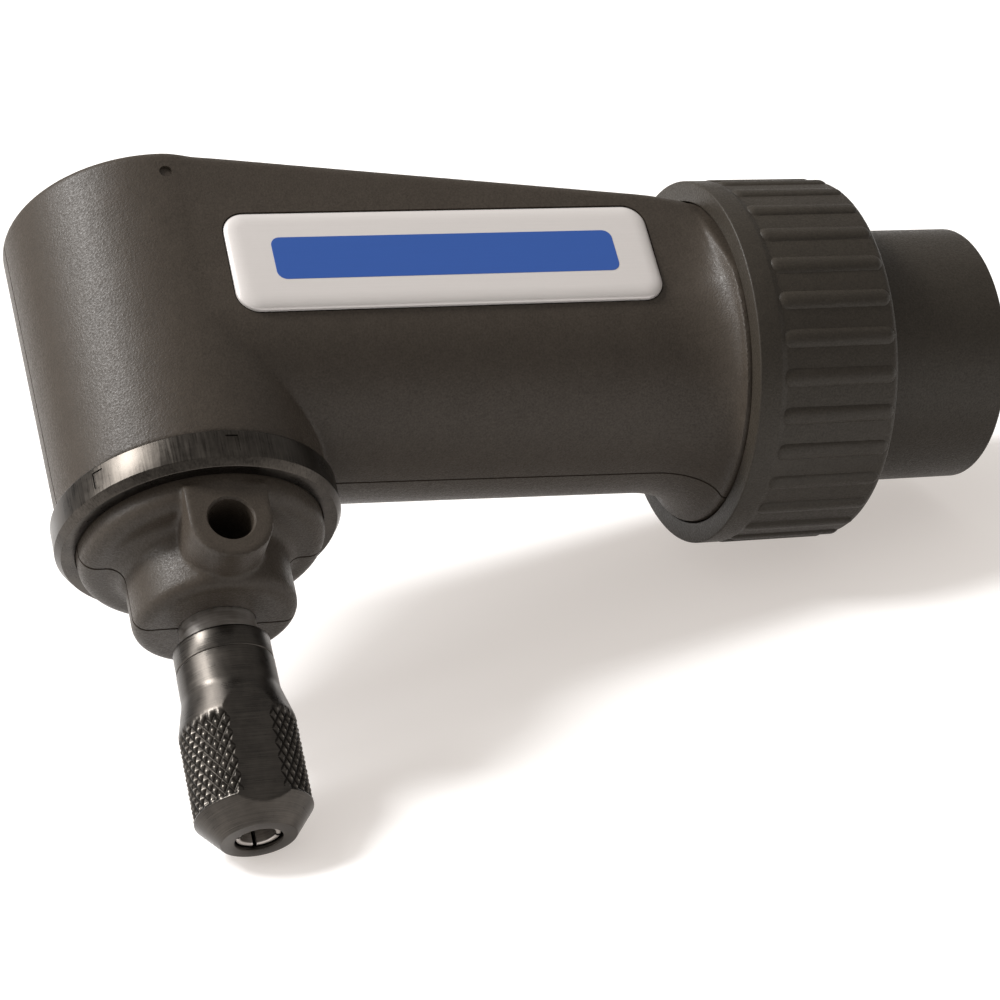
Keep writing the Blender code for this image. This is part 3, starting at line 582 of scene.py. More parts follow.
def bossSkin():
    v = housing
    half = v["bossWidth"] / 2
    root = -v["noseFoot"] + v["noseRound"]
    outline = [(half, root)] + arc((0, -v["lockHeight"]), half, 0, -180, 32) + [(-half, root)]
    return extruded("bossSkin", outline, -v["bossFace"], -v["hubRadius"] / 2)


def oneSkin(name, pieces):
    # voxel remeshing joins the overlapping forms and leaves small fillets between them
    shape = bmesh.new()
    for piece in pieces:
        shape.from_mesh(piece.data)
        discard(piece)
    mesh = bpy.data.meshes.new(name)
    shape.to_mesh(mesh)
    shape.free()
    item = newObject(name, mesh)
    remesh = item.modifiers.new("remesh", "REMESH")
    remesh.mode = "VOXEL"
    remesh.voxel_size = housing["voxel"]
    smooth = item.modifiers.new("smooth", "SMOOTH")
    smooth.factor = 0.5
    smooth.iterations = housing["smoothing"]
    return applyModifiers(item)


# The hollows inside the moulding, in millimetres: seats round the bearings, and the webs that hold them.
seatGap = 0.2
headSpace = {
    "wall": 2.8,
    "chamberTop": -7.4,
    "lipReach": 0.9,
    "lip": 1.8,
    "ledgeReach": 1.8,
    "ledge": 1.0,
    "neck": 4.5,
    "sides": 72,
}
bodySpace = {
    "start": 1.0,
    "hollow": 8.0,
    "webReach": 1.8,
    "frontWeb": 1.0,
    "web": 1.8,
    "washerRoom": 1.2,
    "wall": 1.45,
    "neckGap": 0.25,
    "ridgeStart": 3.0,
    "ridgeEnd": 4.5,
    "ridgeHeight": 1.15,
    "sides": 72,
}


def headRoom():
    # the room for the gears, the spindle, its bush, bearing and seal, from the boxes of those pieces
    v = headSpace
    gap, neck = seatGap, v["neck"]
    bushHigh = span("spindle_bush")[1]
    raceLow, raceHigh = span("spindle_bearing_outer_race")
    sealLow, sealHigh = span("spindle_seal")
    chamber = housing["headRadius"] - v["wall"]
    bush, bushTop = bushHigh.x + gap, -bushHigh.z - gap
    seat, seatTop, seatFoot = raceHigh.x + gap, -raceHigh.z - gap, -raceLow.z + gap
    lip, lipTop = seat - v["lipReach"], seatTop - v["lip"]
    ledge, ledgeFoot = seat - v["ledgeReach"], seatFoot + v["ledge"]
    seal, sealTop, sealFoot = sealHigh.x + gap, -sealHigh.z - gap, -sealLow.z + gap
    hole, past = housing["spindleHole"], housing["hubFoot"] + 1
    outline = [
        (0, bushTop), (bush, bushTop), (bush, v["chamberTop"]), (chamber, v["chamberTop"]), (chamber, lipTop),
        (lip, lipTop), (lip, seatTop), (seat, seatTop), (seat, seatFoot), (ledge, seatFoot), (ledge, ledgeFoot),
        (neck, ledgeFoot), (neck, sealTop), (seal, sealTop), (seal, sealFoot), (hole, sealFoot), (hole, past),
        (0, past),
    ]
    return turned("headRoom", outline, "output", v["sides"])


def bodyRoom():
    # the room for the drive shaft, its bearings and the coupling's neck, whose groove turns on a ridge
    v = bodySpace
    gap, hollow, start = seatGap, v["hollow"], v["start"]
    frontLow, frontHigh = span("front_bearing_outer_race")
    backLow, backHigh = span("rear_bearing_outer_race")
    seat = frontHigh.y + gap
    web = seat - v["webReach"]
    front, frontEnd = frontLow.x - gap, frontHigh.x + gap
    frontWeb, frontWebEnd = front - v["frontWeb"], frontEnd + v["web"]
    back, backEnd = backLow.x - gap, backHigh.x + v["washerRoom"]
    backWeb = back - v["web"]
    mouth = housing["headRadius"] - v["wall"]
    neck = flangeLow.x - v["neckGap"]
    ridge, ridgeStart, ridgeEnd = mouth - v["ridgeHeight"], neck + v["ridgeStart"], neck + v["ridgeEnd"]
    past = housing["flangeBack"] + 1
    outline = [
        (0, start), (hollow, start), (hollow, frontWeb), (web, frontWeb), (web, front), (seat, front),
        (seat, frontEnd), (web, frontEnd), (web, frontWebEnd), (hollow, frontWebEnd), (hollow, backWeb),
        (web, backWeb), (web, back), (seat, back), (seat, backEnd), (web, backEnd), (web, neck), (mouth, neck),
        (mouth, ridgeStart), (ridge, ridgeStart), (ridge, ridgeEnd), (mouth, ridgeEnd), (mouth, past), (0, past),
    ]
    return turned("bodyRoom", outline, "drive", v["sides"])


def screwPlaces():
    places = []
    for number in range(1, 5):
        low, high = span(f"housing_screw_{number}")
        places.append(((low.x + high.x) / 2, (low.z + high.z) / 2, low, high))
    return places


def housingHalf(name, skin, side, nodes):
    v = housing
    beyond = v["beyond"]
    half = newObject(name, skin.data.copy())
    shape = bmesh.new()
    shape.from_mesh(half.data)
    for y, clear in ((v["partingWidth"], False), (v["partingGap"], True)):
        everything = shape.verts[:] + shape.edges[:] + shape.faces[:]
        level = Vector((0, side * y, 0))
        bmesh.ops.bisect_plane(shape, geom=everything, plane_co=level, plane_no=(0, -side, 0), clear_outer=clear)
    rim = [edge for edge in shape.edges if edge.is_boundary]
    shape.normal_update()
    moves = {}
    for vertex in {vertex for edge in rim for vertex in edge.verts}:
        beside = [edge.other_vert(vertex) for edge in vertex.link_edges if edge.is_boundary]
        normal = sum((other.normal for other in beside), vertex.normal.copy())
        normal.y = 0
        moves[vertex] = normal.normalized() * v["partingDepth"]
    for vertex, move in moves.items():
        vertex.co -= move  # the parting edges are broken by a small chamfer
    bmesh.ops.holes_fill(shape, edges=rim, sides=0)
    shape.to_mesh(half.data)
    shape.free()
    cut(half, headRoom())
    room = bodyRoom()
    clearance = v["screwClearance"]
    for x, z, low, high in screwPlaces():
        # a screw that crosses the hollow runs in a post
        if abs(z) < bodySpace["hollow"]:
            cut(room, crossRod("screwPost", v["screwPost"], x, z, -v["headRadius"], v["headRadius"]))
    cut(half, room)
    for x, z, low, high in screwPlaces():
        cut(half, crossRod("shankHole", v["shankHole"], x, z, low.y - clearance, beyond if side > 0 else 1))
        if side > 0:
            head = (high.x - low.x) / 2 + clearance
            cut(half, crossRod("headHole", head, x, z, high.y - v["screwSink"], beyond))
    if side < 0:
        radius, depth, face = v["lockRadius"], v["rimDepth"], -v["bossFace"]
        cut(half, crossRod("lockHole", radius, 0, -v["lockHeight"], -beyond, -1))
        wide = radius + v["lockRim"]
        cut(half, crossCone("lockRim", wide, radius, 0, -v["lockHeight"], face - depth, face + depth))
        dimpleX, dimpleZ = v["dimple"]
        dimpleFloor = v["dimpleDepth"] - sideReach(dimpleZ)
        cut(half, crossRod("dimple", v["dimpleRadius"], dimpleX, dimpleZ, -beyond, dimpleFloor, 24))
        cut(half, extruded("labelSeat", plateOutline(label["recessGap"]), -beyond, label["floor"]))
    finishPiece(half, "housing", housingPlastic, 32, nodes)


# The plate on the front half: a domed, rounded plate that carries a plain blue bar.
labelLow, labelHigh = span("label_plate")
labelShift = Vector((-0.35, -0.3, 0.25))
label = {
    "low": labelLow + labelShift,
    "high": labelHigh + labelShift,
    "corner": 2.1,
    "recessGap": 0.12,
    "floor": labelHigh.y + labelShift.y + 0.1,
    "domeWidth": 1.5,
    "domeHeight": 0.5,
    "domeSteps": 8,
    "barLength": 33.0,
    "barHeight": 4.6,
    "barCorner": 0.9,
    "barThickness": 0.04,
}


def plateOutline(grow, length=None, height=None, corner=None):
    low, high = label["low"], label["high"]
    length = (length or high.x - low.x) + 2 * grow
    height = (height or high.z - low.z) + 2 * grow
    corner = (corner or label["corner"]) + grow
    middle = (low + high) / 2
    outline = []
    for sideX, sideZ, first in ((1, 1, 0), (-1, 1, 90), (-1, -1, 180), (1, -1, 270)):
        centre = (middle.x + sideX * (length / 2 - corner), middle.z + sideZ * (height / 2 - corner))
        outline += arc(centre, corner, first, first + 90, 12)
    return outline


def labelPlate():
    low, high = label["low"], label["high"]
    rings = [(0.0, high.y), (0.0, low.y + label["domeHeight"])]
    for step in range(1, label["domeSteps"] + 1):
        angle = math.pi / 2 * step / label["domeSteps"]
        inset = label["domeWidth"] * (1 - math.cos(angle))
        rings.append((-inset, low.y + label["domeHeight"] * (1 - math.sin(angle))))
    piece = lofted("labelPlate", [[(x, y, z) for x, z in plateOutline(grow)] for grow, y in rings])
    return finishPiece(piece, "housing", plateSilver, 40, ["label_plate"])


def labelBar():
    low = label["low"]
    outline = plateOutline(0, label["barLength"], label["barHeight"], label["barCorner"])
    bar = extruded("labelBar", outline, low.y - label["barThickness"] / 2, low.y + label["barThickness"] / 2)
    return finishPiece(bar, "housing", barBlue, 40, [])


print("housing")
skin = oneSkin("housingSkin", [headSkin(), bodySkin(), bossSkin()])
housingHalf("housingFront", skin, -1, ["housing_front"])
housingHalf("housingRear", skin, 1, ["housing_rear"])
discard(skin)
labelPlate()
labelBar()


# The metal ring round the foot of the head.
headRing = {
    "radius": ringHigh.x,
    "inner": housing["noseRadius"] + 0.03,
    "top": -ringHigh.z,
    "foot": -ringLow.z,
    "edge": 0.18,
    "chamfer": 0.75,
    "taper": 0.5,
    "markWidth": 1.15,
    "markHeight": 1.6,
    "markDepth": 0.12,
    "markAngles": (-141.5, -85.9),
    "sides": 192,
}


def ringPiece():
    v = headRing
    radius, inner, top, foot = v["radius"], v["inner"], v["top"], v["foot"]
    corners = [
        (inner, top, 0.1), (radius, top, v["edge"]), (radius, foot - v["chamfer"], 0.12),
        (radius - v["taper"], foot, 0.1), (inner, foot, 0.1),
    ]
    ring = turned("headRing", roundCorners(corners), "output", v["sides"])
    width, height = v["markWidth"] / 2, v["markHeight"] / 2
    middle = Vector((0, 0, -(top + foot - v["chamfer"]) / 2))
    for angle in v["markAngles"]:
        mark = block("mark", (radius - v["markDepth"], -width, -height), (radius + 1, width, height))
        mark.data.transform(Matrix.Translation(middle) @ Matrix.Rotation(math.radians(angle), 4, "Z"))
        cut(ring, mark)
    return finishPiece(ring, "housing", ringSteel, 35, ["head_ring"])


print("ring")
ringPiece()


# The coupling: a turned collar whose ribs and inside thread are geometry nodes.
collarLow, collarHigh = span("coupling_collar")
coupling = {
    "radius": collarHigh.y - 0.08,
    "front": 51.4,
    "back": 65.9,
    "sleeveEnd": collarHigh.x,
    "sleeveRadius": 12.42,
    "ribZone": 53.6,
    "ribBase": collarHigh.y - 0.28,
    "neckFront": collarLow.x,
    "neckRadius": 10.6,
    "neckBore": 8.0,
    "grooveRadius": 9.3,
    "grooveStart": 47.0,
    "grooveEnd": 49.0,
    "floor": 53.0,
    "recess": 15.64,
    "pocketOuter": 15.1,
    "pocketInner": 12.6,
    "pocketEnd": 63.5,
    "threadBore": 9.1,
    "threadRoot": 9.75,
    "threadEnd": 63.0,
    "reliefStart": 1.2,
    "reliefEnd": 1.5,
    "leadWidth": 0.15,
    "leadDepth": 0.8,
    "shoulder": 0.6,
    "sides": 180,
}
ribs = {
    "Count": 30,
    "Radius": coupling["ribBase"],
    "Width": 2.0,
    "Height": 0.3,
    "Start": coupling["front"] + 2.35,
    "End": coupling["back"] - 0.4,
    "Sink": 0.3,
    "Phase": math.radians(9.3),
}
thread = {
    "Turns": 7.2,
    "Pitch": 25.4 / 12,
    "Root": coupling["threadRoot"] + 0.05,
    "Crest": coupling["threadBore"],
    "Start": coupling["threadEnd"] + coupling["reliefStart"],
    "Steps": 72,
}


def collarBody():
    v = coupling
    corners = [
        (v["neckBore"], v["neckFront"], 0.2), (v["neckRadius"], v["neckFront"], 0.25),
        (v["neckRadius"], v["grooveStart"], 0.1), (v["grooveRadius"], v["grooveStart"], 0.15),
        (v["grooveRadius"], v["grooveEnd"], 0.15), (v["neckRadius"], v["grooveEnd"], 0.1),
        (v["neckRadius"], v["floor"], 0.2), (v["pocketInner"], v["floor"], 0.2),
        (v["pocketInner"], v["pocketEnd"], 0.3), (v["pocketOuter"], v["pocketEnd"], 0.3),
        (v["pocketOuter"], v["floor"], 0.1), (v["recess"], v["floor"], 0.1),
        (v["recess"], v["front"], 0.12), (v["radius"], v["front"], 0.16),
        (v["radius"], v["ribZone"], 0.6), (v["ribBase"], v["ribZone"] + v["shoulder"], 0.6),
        (v["ribBase"], v["back"], 0.8), (v["sleeveRadius"], v["back"], 0.25),
        (v["sleeveRadius"], v["sleeveEnd"], 0.35), (v["threadRoot"] + v["leadWidth"], v["sleeveEnd"], 0.12),
        (v["threadRoot"], v["sleeveEnd"] - v["leadDepth"], 0),
        (v["threadRoot"], v["threadEnd"] + v["reliefEnd"], 0.2),
        (v["threadBore"], v["threadEnd"] + v["reliefStart"], 0),
        (v["threadBore"], v["threadEnd"], 0.2), (v["neckBore"], v["threadEnd"], 0.2),
    ]
    return turned("couplingCollar", roundCorners(corners, 5), "drive", v["sides"])


def ribTree(material):
    tree, given, result = geometryTree("collarRibs", ribs)
    plus, minus, times, over = sums(tree)
    ball = addNode(tree, "GeometryNodeMeshUVSphere", {"Segments": 20, "Rings": 12, "Radius": 0.5}).outputs["Mesh"]
    parts = pointParts(tree)
    # the ball lies along the drive axis: z becomes x, and its two halves move apart
    away = times(minus(minus(given["End"], given["Start"]), given["Width"]), 0.5)
    half = times(maths(tree, "SIGN", parts["Z"]), away)
    runs = plus(times(parts["Z"], given["Width"]), half)
    x = plus(runs, times(plus(given["End"], given["Start"]), 0.5))
    y = times(parts["Y"], given["Width"])
    z = times(parts["X"], times(plus(given["Height"], given["Sink"]), 2.0))
    rib = movePoints(tree, ball, x, y, plus(z, minus(given["Radius"], given["Sink"])))
    line, index = countedPoints(tree, given["Count"])
    turn = plus(times(over(index, given["Count"]), 2 * math.pi), given["Phase"])
    turns = addNode(tree, "ShaderNodeCombineXYZ", {0: turn}).outputs[0]
    copies = addNode(tree, "GeometryNodeInstanceOnPoints", {"Points": line, "Instance": rib, "Rotation": turns})
    both = joinInTree(tree, copies.outputs[0], given["Geometry"])
    return endTree(tree, both, material, result)


def threadTree(material):
    tree, given, result = geometryTree("insideThread", thread)
    plus, minus, times, over = sums(tree)
    line, index = countedPoints(tree, times(given["Turns"], given["Steps"]))
    turns = over(index, given["Steps"])
    angle = times(turns, 2 * math.pi)
    x = plus(given["Start"], times(turns, given["Pitch"]))
    y = times(given["Root"], maths(tree, "COSINE", angle))
    z = times(given["Root"], maths(tree, "SINE", angle))
    path = addNode(tree, "GeometryNodeMeshToCurve", {0: movePoints(tree, line, x, y, z)}).outputs[0]
    ridge = addNode(tree, "GeometryNodeCurvePrimitiveCircle", {"Resolution": 6, "Radius": 1.0}).outputs["Curve"]
    size = minus(given["Root"], given["Crest"])
    sweep = {"Curve": path, "Profile Curve": ridge, "Scale": size, "Fill Caps": True}
    tube = addNode(tree, "GeometryNodeCurveToMesh", sweep)
    both = joinInTree(tree, tube.outputs[0], given["Geometry"])
    return endTree(tree, both, material, result)


print("coupling")
collar = collarBody()
runTree(collar, threadTree(collarPlastic), thread)
runTree(collar, ribTree(collarPlastic), ribs)
finishPiece(collar, "coupling", collarPlastic, 35, ["coupling_collar"])


# The collet nut: a turned form whose diamond knurl is a geometry-nodes displacement, with two flats.
nutLow, nutHigh = span("collet_nut")
nut = {
    "top": -nutHigh.z + 0.4,
    "tip": -nutLow.z,
    "grip": nutHigh.x - 0.1,
    "neck": 4.35,
    "bore": 3.75,
    "grooveTop": 29.75,
    "grooveFoot": 30.15,
    "grooveDepth": 0.13,
    "shoulder": 0.05,
    "flareStart": 32.5,
    "flareEnd": 36.3,
    "flareBend": 0.18,
    "gripEnd": 44.0,
    "gripSpare": 0.15,
    "tipRadius": 3.3,
    "tipSteps": 12,
    "mouth": 2.08,
    "mouthLip": 0.35,
    "coneFoot": 41.0,
    "coneTop": 40.0,
    "coneStep": 0.6,
    "coneRadius": span("collet")[1].x + 0.12,
    "ringStep": 0.0825,
    "flareStep": 0.19,
}
knurl = {
    "Around": 36,
    "Pitch": 1.32,
    "Depth": 0.23,
    "Start": 35.85,
    "End": 43.9,
    "Steepness": 2.1,
    "Fade In": 0.6,
    "Fade Out": 0.25,
    "Least Radius": nut["neck"] + 0.2,
    "Flat": 4.62,
    "Flat Foot": 45.5,
}


def ramp(share, bend):
    # rises from 0 to 1 in a straight line that is eased at both ends
    slope = 1 / (1 - bend)
    if share < bend:
        return slope * share * share / (2 * bend)
    if share > 1 - bend:
        return 1 - slope * (1 - share) ** 2 / (2 * bend)
    return slope * (share - bend / 2)


def nutBody():
    v = nut
    neck, grip, tip = v["neck"], v["grip"], v["tip"]
    top, groove, slack = neck - v["shoulder"], neck - v["grooveDepth"], v["shoulder"]
    outline = roundCorners([
        (v["bore"], v["top"], 0.1), (top, v["top"], 0.3), (top, v["grooveTop"], 0.04),
        (groove, v["grooveTop"] + slack, 0), (groove, v["grooveFoot"] - slack, 0), (neck, v["grooveFoot"], 0.04),
    ], 3)
    flare = v["flareEnd"] - v["flareStart"]
    steps = int(flare / v["flareStep"])
    for step in range(steps + 1):
        swell = ramp(step / steps, v["flareBend"])
        outline.append((neck + (grip - neck) * swell, v["flareStart"] + flare * step / steps))
    steps = int((v["gripEnd"] - v["gripSpare"] - v["flareEnd"]) / v["ringStep"])
    outline += [(grip, v["flareEnd"] + v["ringStep"] * step) for step in range(1, steps + 1)]
    shares = [step / v["tipSteps"] for step in range(1, v["tipSteps"])]
    across, down = v["tipRadius"] - grip, tip - v["gripEnd"]
    taper = [(grip + across * share, v["gripEnd"] + down * share, 0) for share in shares]
    outline += roundCorners([
        (grip, v["gripEnd"] - 0.2, 0), (grip, v["gripEnd"], 0.12), *taper, (v["tipRadius"], tip, 0.15),
        (v["mouth"], tip, 0.1), (v["mouth"], tip - v["mouthLip"], 0), (v["coneRadius"], v["coneFoot"], 0),
        (v["coneRadius"], v["coneTop"], 0), (v["bore"], v["coneTop"] - v["coneStep"], 0),
    ], 4)[1:]
    return turned("colletNut", outline, "output", knurl["Around"] * 16)


def knurlTree(material):
    tree, given, result = geometryTree("nutKnurl", knurl)
    plus, minus, times, over = sums(tree)
    parts = pointParts(tree)
    radius = maths(tree, "SQRT", plus(maths(tree, "POWER", parts["X"], 2.0), maths(tree, "POWER", parts["Y"], 2.0)))
    around = times(over(maths(tree, "ARCTAN2", parts["Y"], parts["X"]), 2 * math.pi), given["Around"])
    depth = times(parts["Z"], -1.0)
    down = over(depth, given["Pitch"])
    rising = maths(tree, "PINGPONG", plus(around, down), 0.5)
    falling = maths(tree, "PINGPONG", minus(around, down), 0.5)
    height = maths(tree, "MINIMUM", times(maths(tree, "MINIMUM", rising, falling), given["Steepness"]), 1.0)
    valley = times(minus(height, 1.0), given["Depth"])
    # the knurl fades in below the flare, fades out above the cone and leaves the bore alone
    top, foot = plus(given["Start"], given["Fade In"]), minus(given["End"], given["Fade Out"])
    afterStart = spread(tree, depth, 0.0, 1.0, given["Start"], top)
    beforeEnd = spread(tree, depth, 1.0, 0.0, foot, given["End"])
    outside = maths(tree, "GREATER_THAN", radius, given["Least Radius"])
    shown = times(times(afterStart, beforeEnd), outside)
    share = over(plus(radius, times(valley, shown)), radius)
    y = times(parts["Y"], share)
    near = maths(tree, "MAXIMUM", maths(tree, "MINIMUM", y, given["Flat"]), times(given["Flat"], -1.0))
    above = maths(tree, "LESS_THAN", depth, given["Flat Foot"])
    flat = addNode(tree, "ShaderNodeMix", {0: above, 2: y, 3: near}).outputs[0]
    # a crest is lightened as wear with a painted highlight and a valley is darkened as painted shade, except on the
    # flats
    level = times(minus(times(height, 2.0), 1.0), shown)
    wear = times(level, maths(tree, "LESS_THAN", maths(tree, "ABSOLUTE", y), given["Flat"]))
    stored = {"Geometry": given["Geometry"], "Name": "wear", "Value": wear}
    marked = addNode(tree, "GeometryNodeStoreNamedAttribute", stored).outputs[0]
    shaped = movePoints(tree, marked, times(parts["X"], share), flat, parts["Z"])
    return endTree(tree, shaped, material, result)


print("nut")
nutPiece = nutBody()
runTree(nutPiece, knurlTree(nutSteel), knurl)
finishPiece(nutPiece, "nut", nutSteel, 50, ["collet_nut"])


# The collet, slit four ways.
colletLow, colletHigh = span("collet")
collet = {
    "top": -colletHigh.z,
    "foot": -colletLow.z,
    "bore": 1.5,
    "shank": 2.4,
    "head": colletHigh.x,
    "headTop": 40.2,
    "footRadius": nut["mouth"] - 0.14,
    "slit": 0.36,
    "slitLength": 10,
    "slitTop": 35.5,
    "sides": 96,
}


def colletPiece():
    v = collet
    corners = [
        (v["bore"], v["top"], 0), (v["shank"], v["top"], 0.15), (v["shank"], v["headTop"] - 0.6, 0),
        (v["head"], v["headTop"], 0.1), (v["head"], v["headTop"] + 0.8, 0.1), (v["footRadius"], v["foot"], 0.12),
        (v["bore"], v["foot"], 0.18),
    ]
    piece = turned("colletSprung", roundCorners(corners), "output", v["sides"])
    cutCross(piece, v["slit"], v["slitLength"], -v["foot"] - 1, -v["slitTop"])
    return finishPiece(piece, "collet", brightSteel, 35, ["collet"])


# The output spindle, of which the hub shows a short bright length.
spindleLow, spindleHigh = span("output_spindle")
spindle = {
    "top": -spindleHigh.z,
    "foot": -spindleLow.z,
    "upper": 2.5,
    "flange": spindleHigh.x,
    "flangeTop": 12.0,
    "flangeFoot": 12.6,
    "seat": 3.8,
    "clipTop": 17.9,
    "clipFoot": 18.7,
    "clipDepth": 0.35,
    "neckTop": 24.6,
    "neck": 3.42,
    "threadTop": 28.2,
    "thread": 3.5,
    "pocket": 2.6,
    "pocketTop": 32.4,
    "bore": 1.75,
    "boreTop": 27.0,
    "lockHeight": housing["lockHeight"],
    "lockRadius": 1.6,
    "pinHeight": 10.1,
    "pinRadius": 0.7,
    "sides": 96,
}


def spindlePiece():
    v = spindle
    clip = v["seat"] - v["clipDepth"]
    corners = [
        (0, v["top"], 0), (v["upper"], v["top"], 0.3), (v["upper"], v["flangeTop"], 0.1),
        (v["flange"], v["flangeTop"], 0.1), (v["flange"], v["flangeFoot"], 0.1), (v["seat"], v["flangeFoot"], 0.1),
        (v["seat"], v["clipTop"], 0), (clip, v["clipTop"], 0), (clip, v["clipFoot"], 0), (v["seat"], v["clipFoot"], 0),
        (v["seat"], v["neckTop"], 0.15), (v["neck"], v["neckTop"] + 0.4, 0.2), (v["neck"], v["threadTop"], 0),
        (v["thread"], v["threadTop"] + 0.25, 0), (v["thread"], v["foot"], 0.25), (v["pocket"], v["foot"], 0.1),
        (v["pocket"], v["pocketTop"], 0), (v["bore"], v["pocketTop"], 0), (v["bore"], v["boreTop"], 0),
        (0, v["boreTop"] - 0.8, 0),
    ]
    piece = turned("outputSpindle", roundCorners(corners), "output", v["sides"])
    beyond = v["flange"] + 1
    cut(piece, crossRod("lock", v["lockRadius"], 0, -v["lockHeight"], -beyond, beyond))
    cut(piece, crossRod("pin", v["pinRadius"], 0, -v["pinHeight"], -beyond, beyond, 24))
    return finishPiece(piece, "spindle", brightSteel, 35, ["output_spindle"])


print("spindle and collet")
spindlePiece()
colletPiece()


# The housing screws: one round head with a cross recess, set at four places by geometry nodes.
screwHead = {
    "radius": 1.9,
    "height": 1.35,
    "rim": 0.35,
    "slot": 0.55,
    "slotLength": 2.2,
    "slotDepth": 0.8,
    "shank": 1.05,
    "lap": 0.1,
    "sides": 48,
}
screwTurn = {"Turn": 0.7}


def screwTree(material, places):
    tree, given, result = geometryTree("housingScrews", screwTurn)
    points = [addNode(tree, "GeometryNodePoints", {"Count": 1, "Position": place}).outputs[0] for place in places]
    index = addNode(tree, "GeometryNodeInputIndex").outputs[0]
    spin = maths(tree, "MULTIPLY", index, given["Turn"])
    tilt = addNode(tree, "ShaderNodeCombineXYZ", {0: -math.pi / 2, 1: spin}).outputs[0]
    inputs = {"Points": joinInTree(tree, *points), "Instance": given["Geometry"], "Rotation": tilt}
    copies = addNode(tree, "GeometryNodeInstanceOnPoints", inputs).outputs[0]
    return endTree(tree, copies, material, result)


def housingScrews():
    v = screwHead
    outline = [(0, 0.01), (v["radius"], 0.01)]
    for angle in map(math.radians, range(0, 90, 10)):
        outline.append((v["radius"] * math.cos(angle), -v["rim"] - (v["height"] - v["rim"]) * math.sin(angle)))
    heads = turned("housingScrews", outline + [(0, -v["height"])], "output", v["sides"])
    cutCross(heads, v["slot"], v["slotLength"], v["height"] - v["slotDepth"], v["height"] + 1)
    places = screwPlaces()
    seats = [(x, high.y - v["height"], z) for x, z, low, high in places]
    runTree(heads, screwTree(springSteel, seats), screwTurn)
    shape = bmesh.new()
    shape.from_mesh(heads.data)
    for x, z, low, high in places:
        shank = crossRod("shank", v["shank"], x, z, low.y, high.y - v["height"] + v["lap"], 24)
        shape.from_mesh(shank.data)
        discard(shank)
    shape.to_mesh(heads.data)
    shape.free()
    nodes = [f"housing_screw_{number}" for number in range(1, 5)]
    return finishPiece(heads, "housing", springSteel, 35, nodes)


print("screws")
housingScrews()


# The inner pieces keep their CAD solids and take a real finish.
finishes = {
    "drive_shaft": driveSteel, "drive_pinion": gearSteel, "output_gear": gearSteel, "bearing_spacer": springSteel,
    "pinion_pin": springSteel, "gear_pin": springSteel, "shaft_circlip": springSteel,
    "spindle_circlip": springSteel, "wave_washer": springSteel, "spindle_bush": bushBronze,
    "spindle_seal": sealRubber,
}
for bearing, raceSteel in (("front", driveSteel), ("rear", driveSteel), ("spindle", brightSteel)):
    finishes[f"{bearing}_bearing_outer_race"] = raceSteel
    finishes[f"{bearing}_bearing_inner_race"] = raceSteel
    finishes[f"{bearing}_bearing_balls"] = cageBrass
for node, material in finishes.items():
    slots = frame["nodes"][node].data.materials
    slots.clear()
    slots.append(material)
print("inner pieces", len(finishes))


# The camera at the photograph's angle: millimetres from the apex, and pixels of a 1000 pixel picture.
photo = {
    "place": (-61.84, -219.76, -144.72),
    "right": (0.94092, -0.25947, -0.2176),
    "down": (-0.05166, 0.52509, -0.84948),
    "focal": 2926.9,
    "size": 1000.0,
    "sensor": 36.0,
    "nearest": 0.01,
}


def addCamera():
    data = bpy.data.cameras.new("camera")
    camera = newObject("camera", data)
    right = Vector(photo["right"]).normalized()
    down = Vector(photo["down"])
    down = (down - right * down.dot(right)).normalized()
    forward = right.cross(down)
    turn = Matrix((right, -down, -forward)).transposed().to_4x4()
    camera.matrix_world = Matrix.Translation(apex + Vector(photo["place"]) * mm) @ turn
    data.sensor_width = photo["sensor"]
    data.lens = photo["focal"] * photo["sensor"] / photo["size"]
    data.clip_start = photo["nearest"]
    bpy.context.scene.camera = camera
    return camera


# The stage: the floor touches the nut's tip and the collar's rim, as the object lies in the photograph.
stage = {
    "up": (-0.208, -0.765, 0.610),
    "floorSize": 3.0,
    "floorWhite": 0.6,
    "cameraLift": 0.49,
    "liftTint": (1.0, 0.92, 0.86),
    "dimSide": 0.24,
    "brightSide": 0.56,
    "warmth": (1.0, 0.965, 0.93),
}


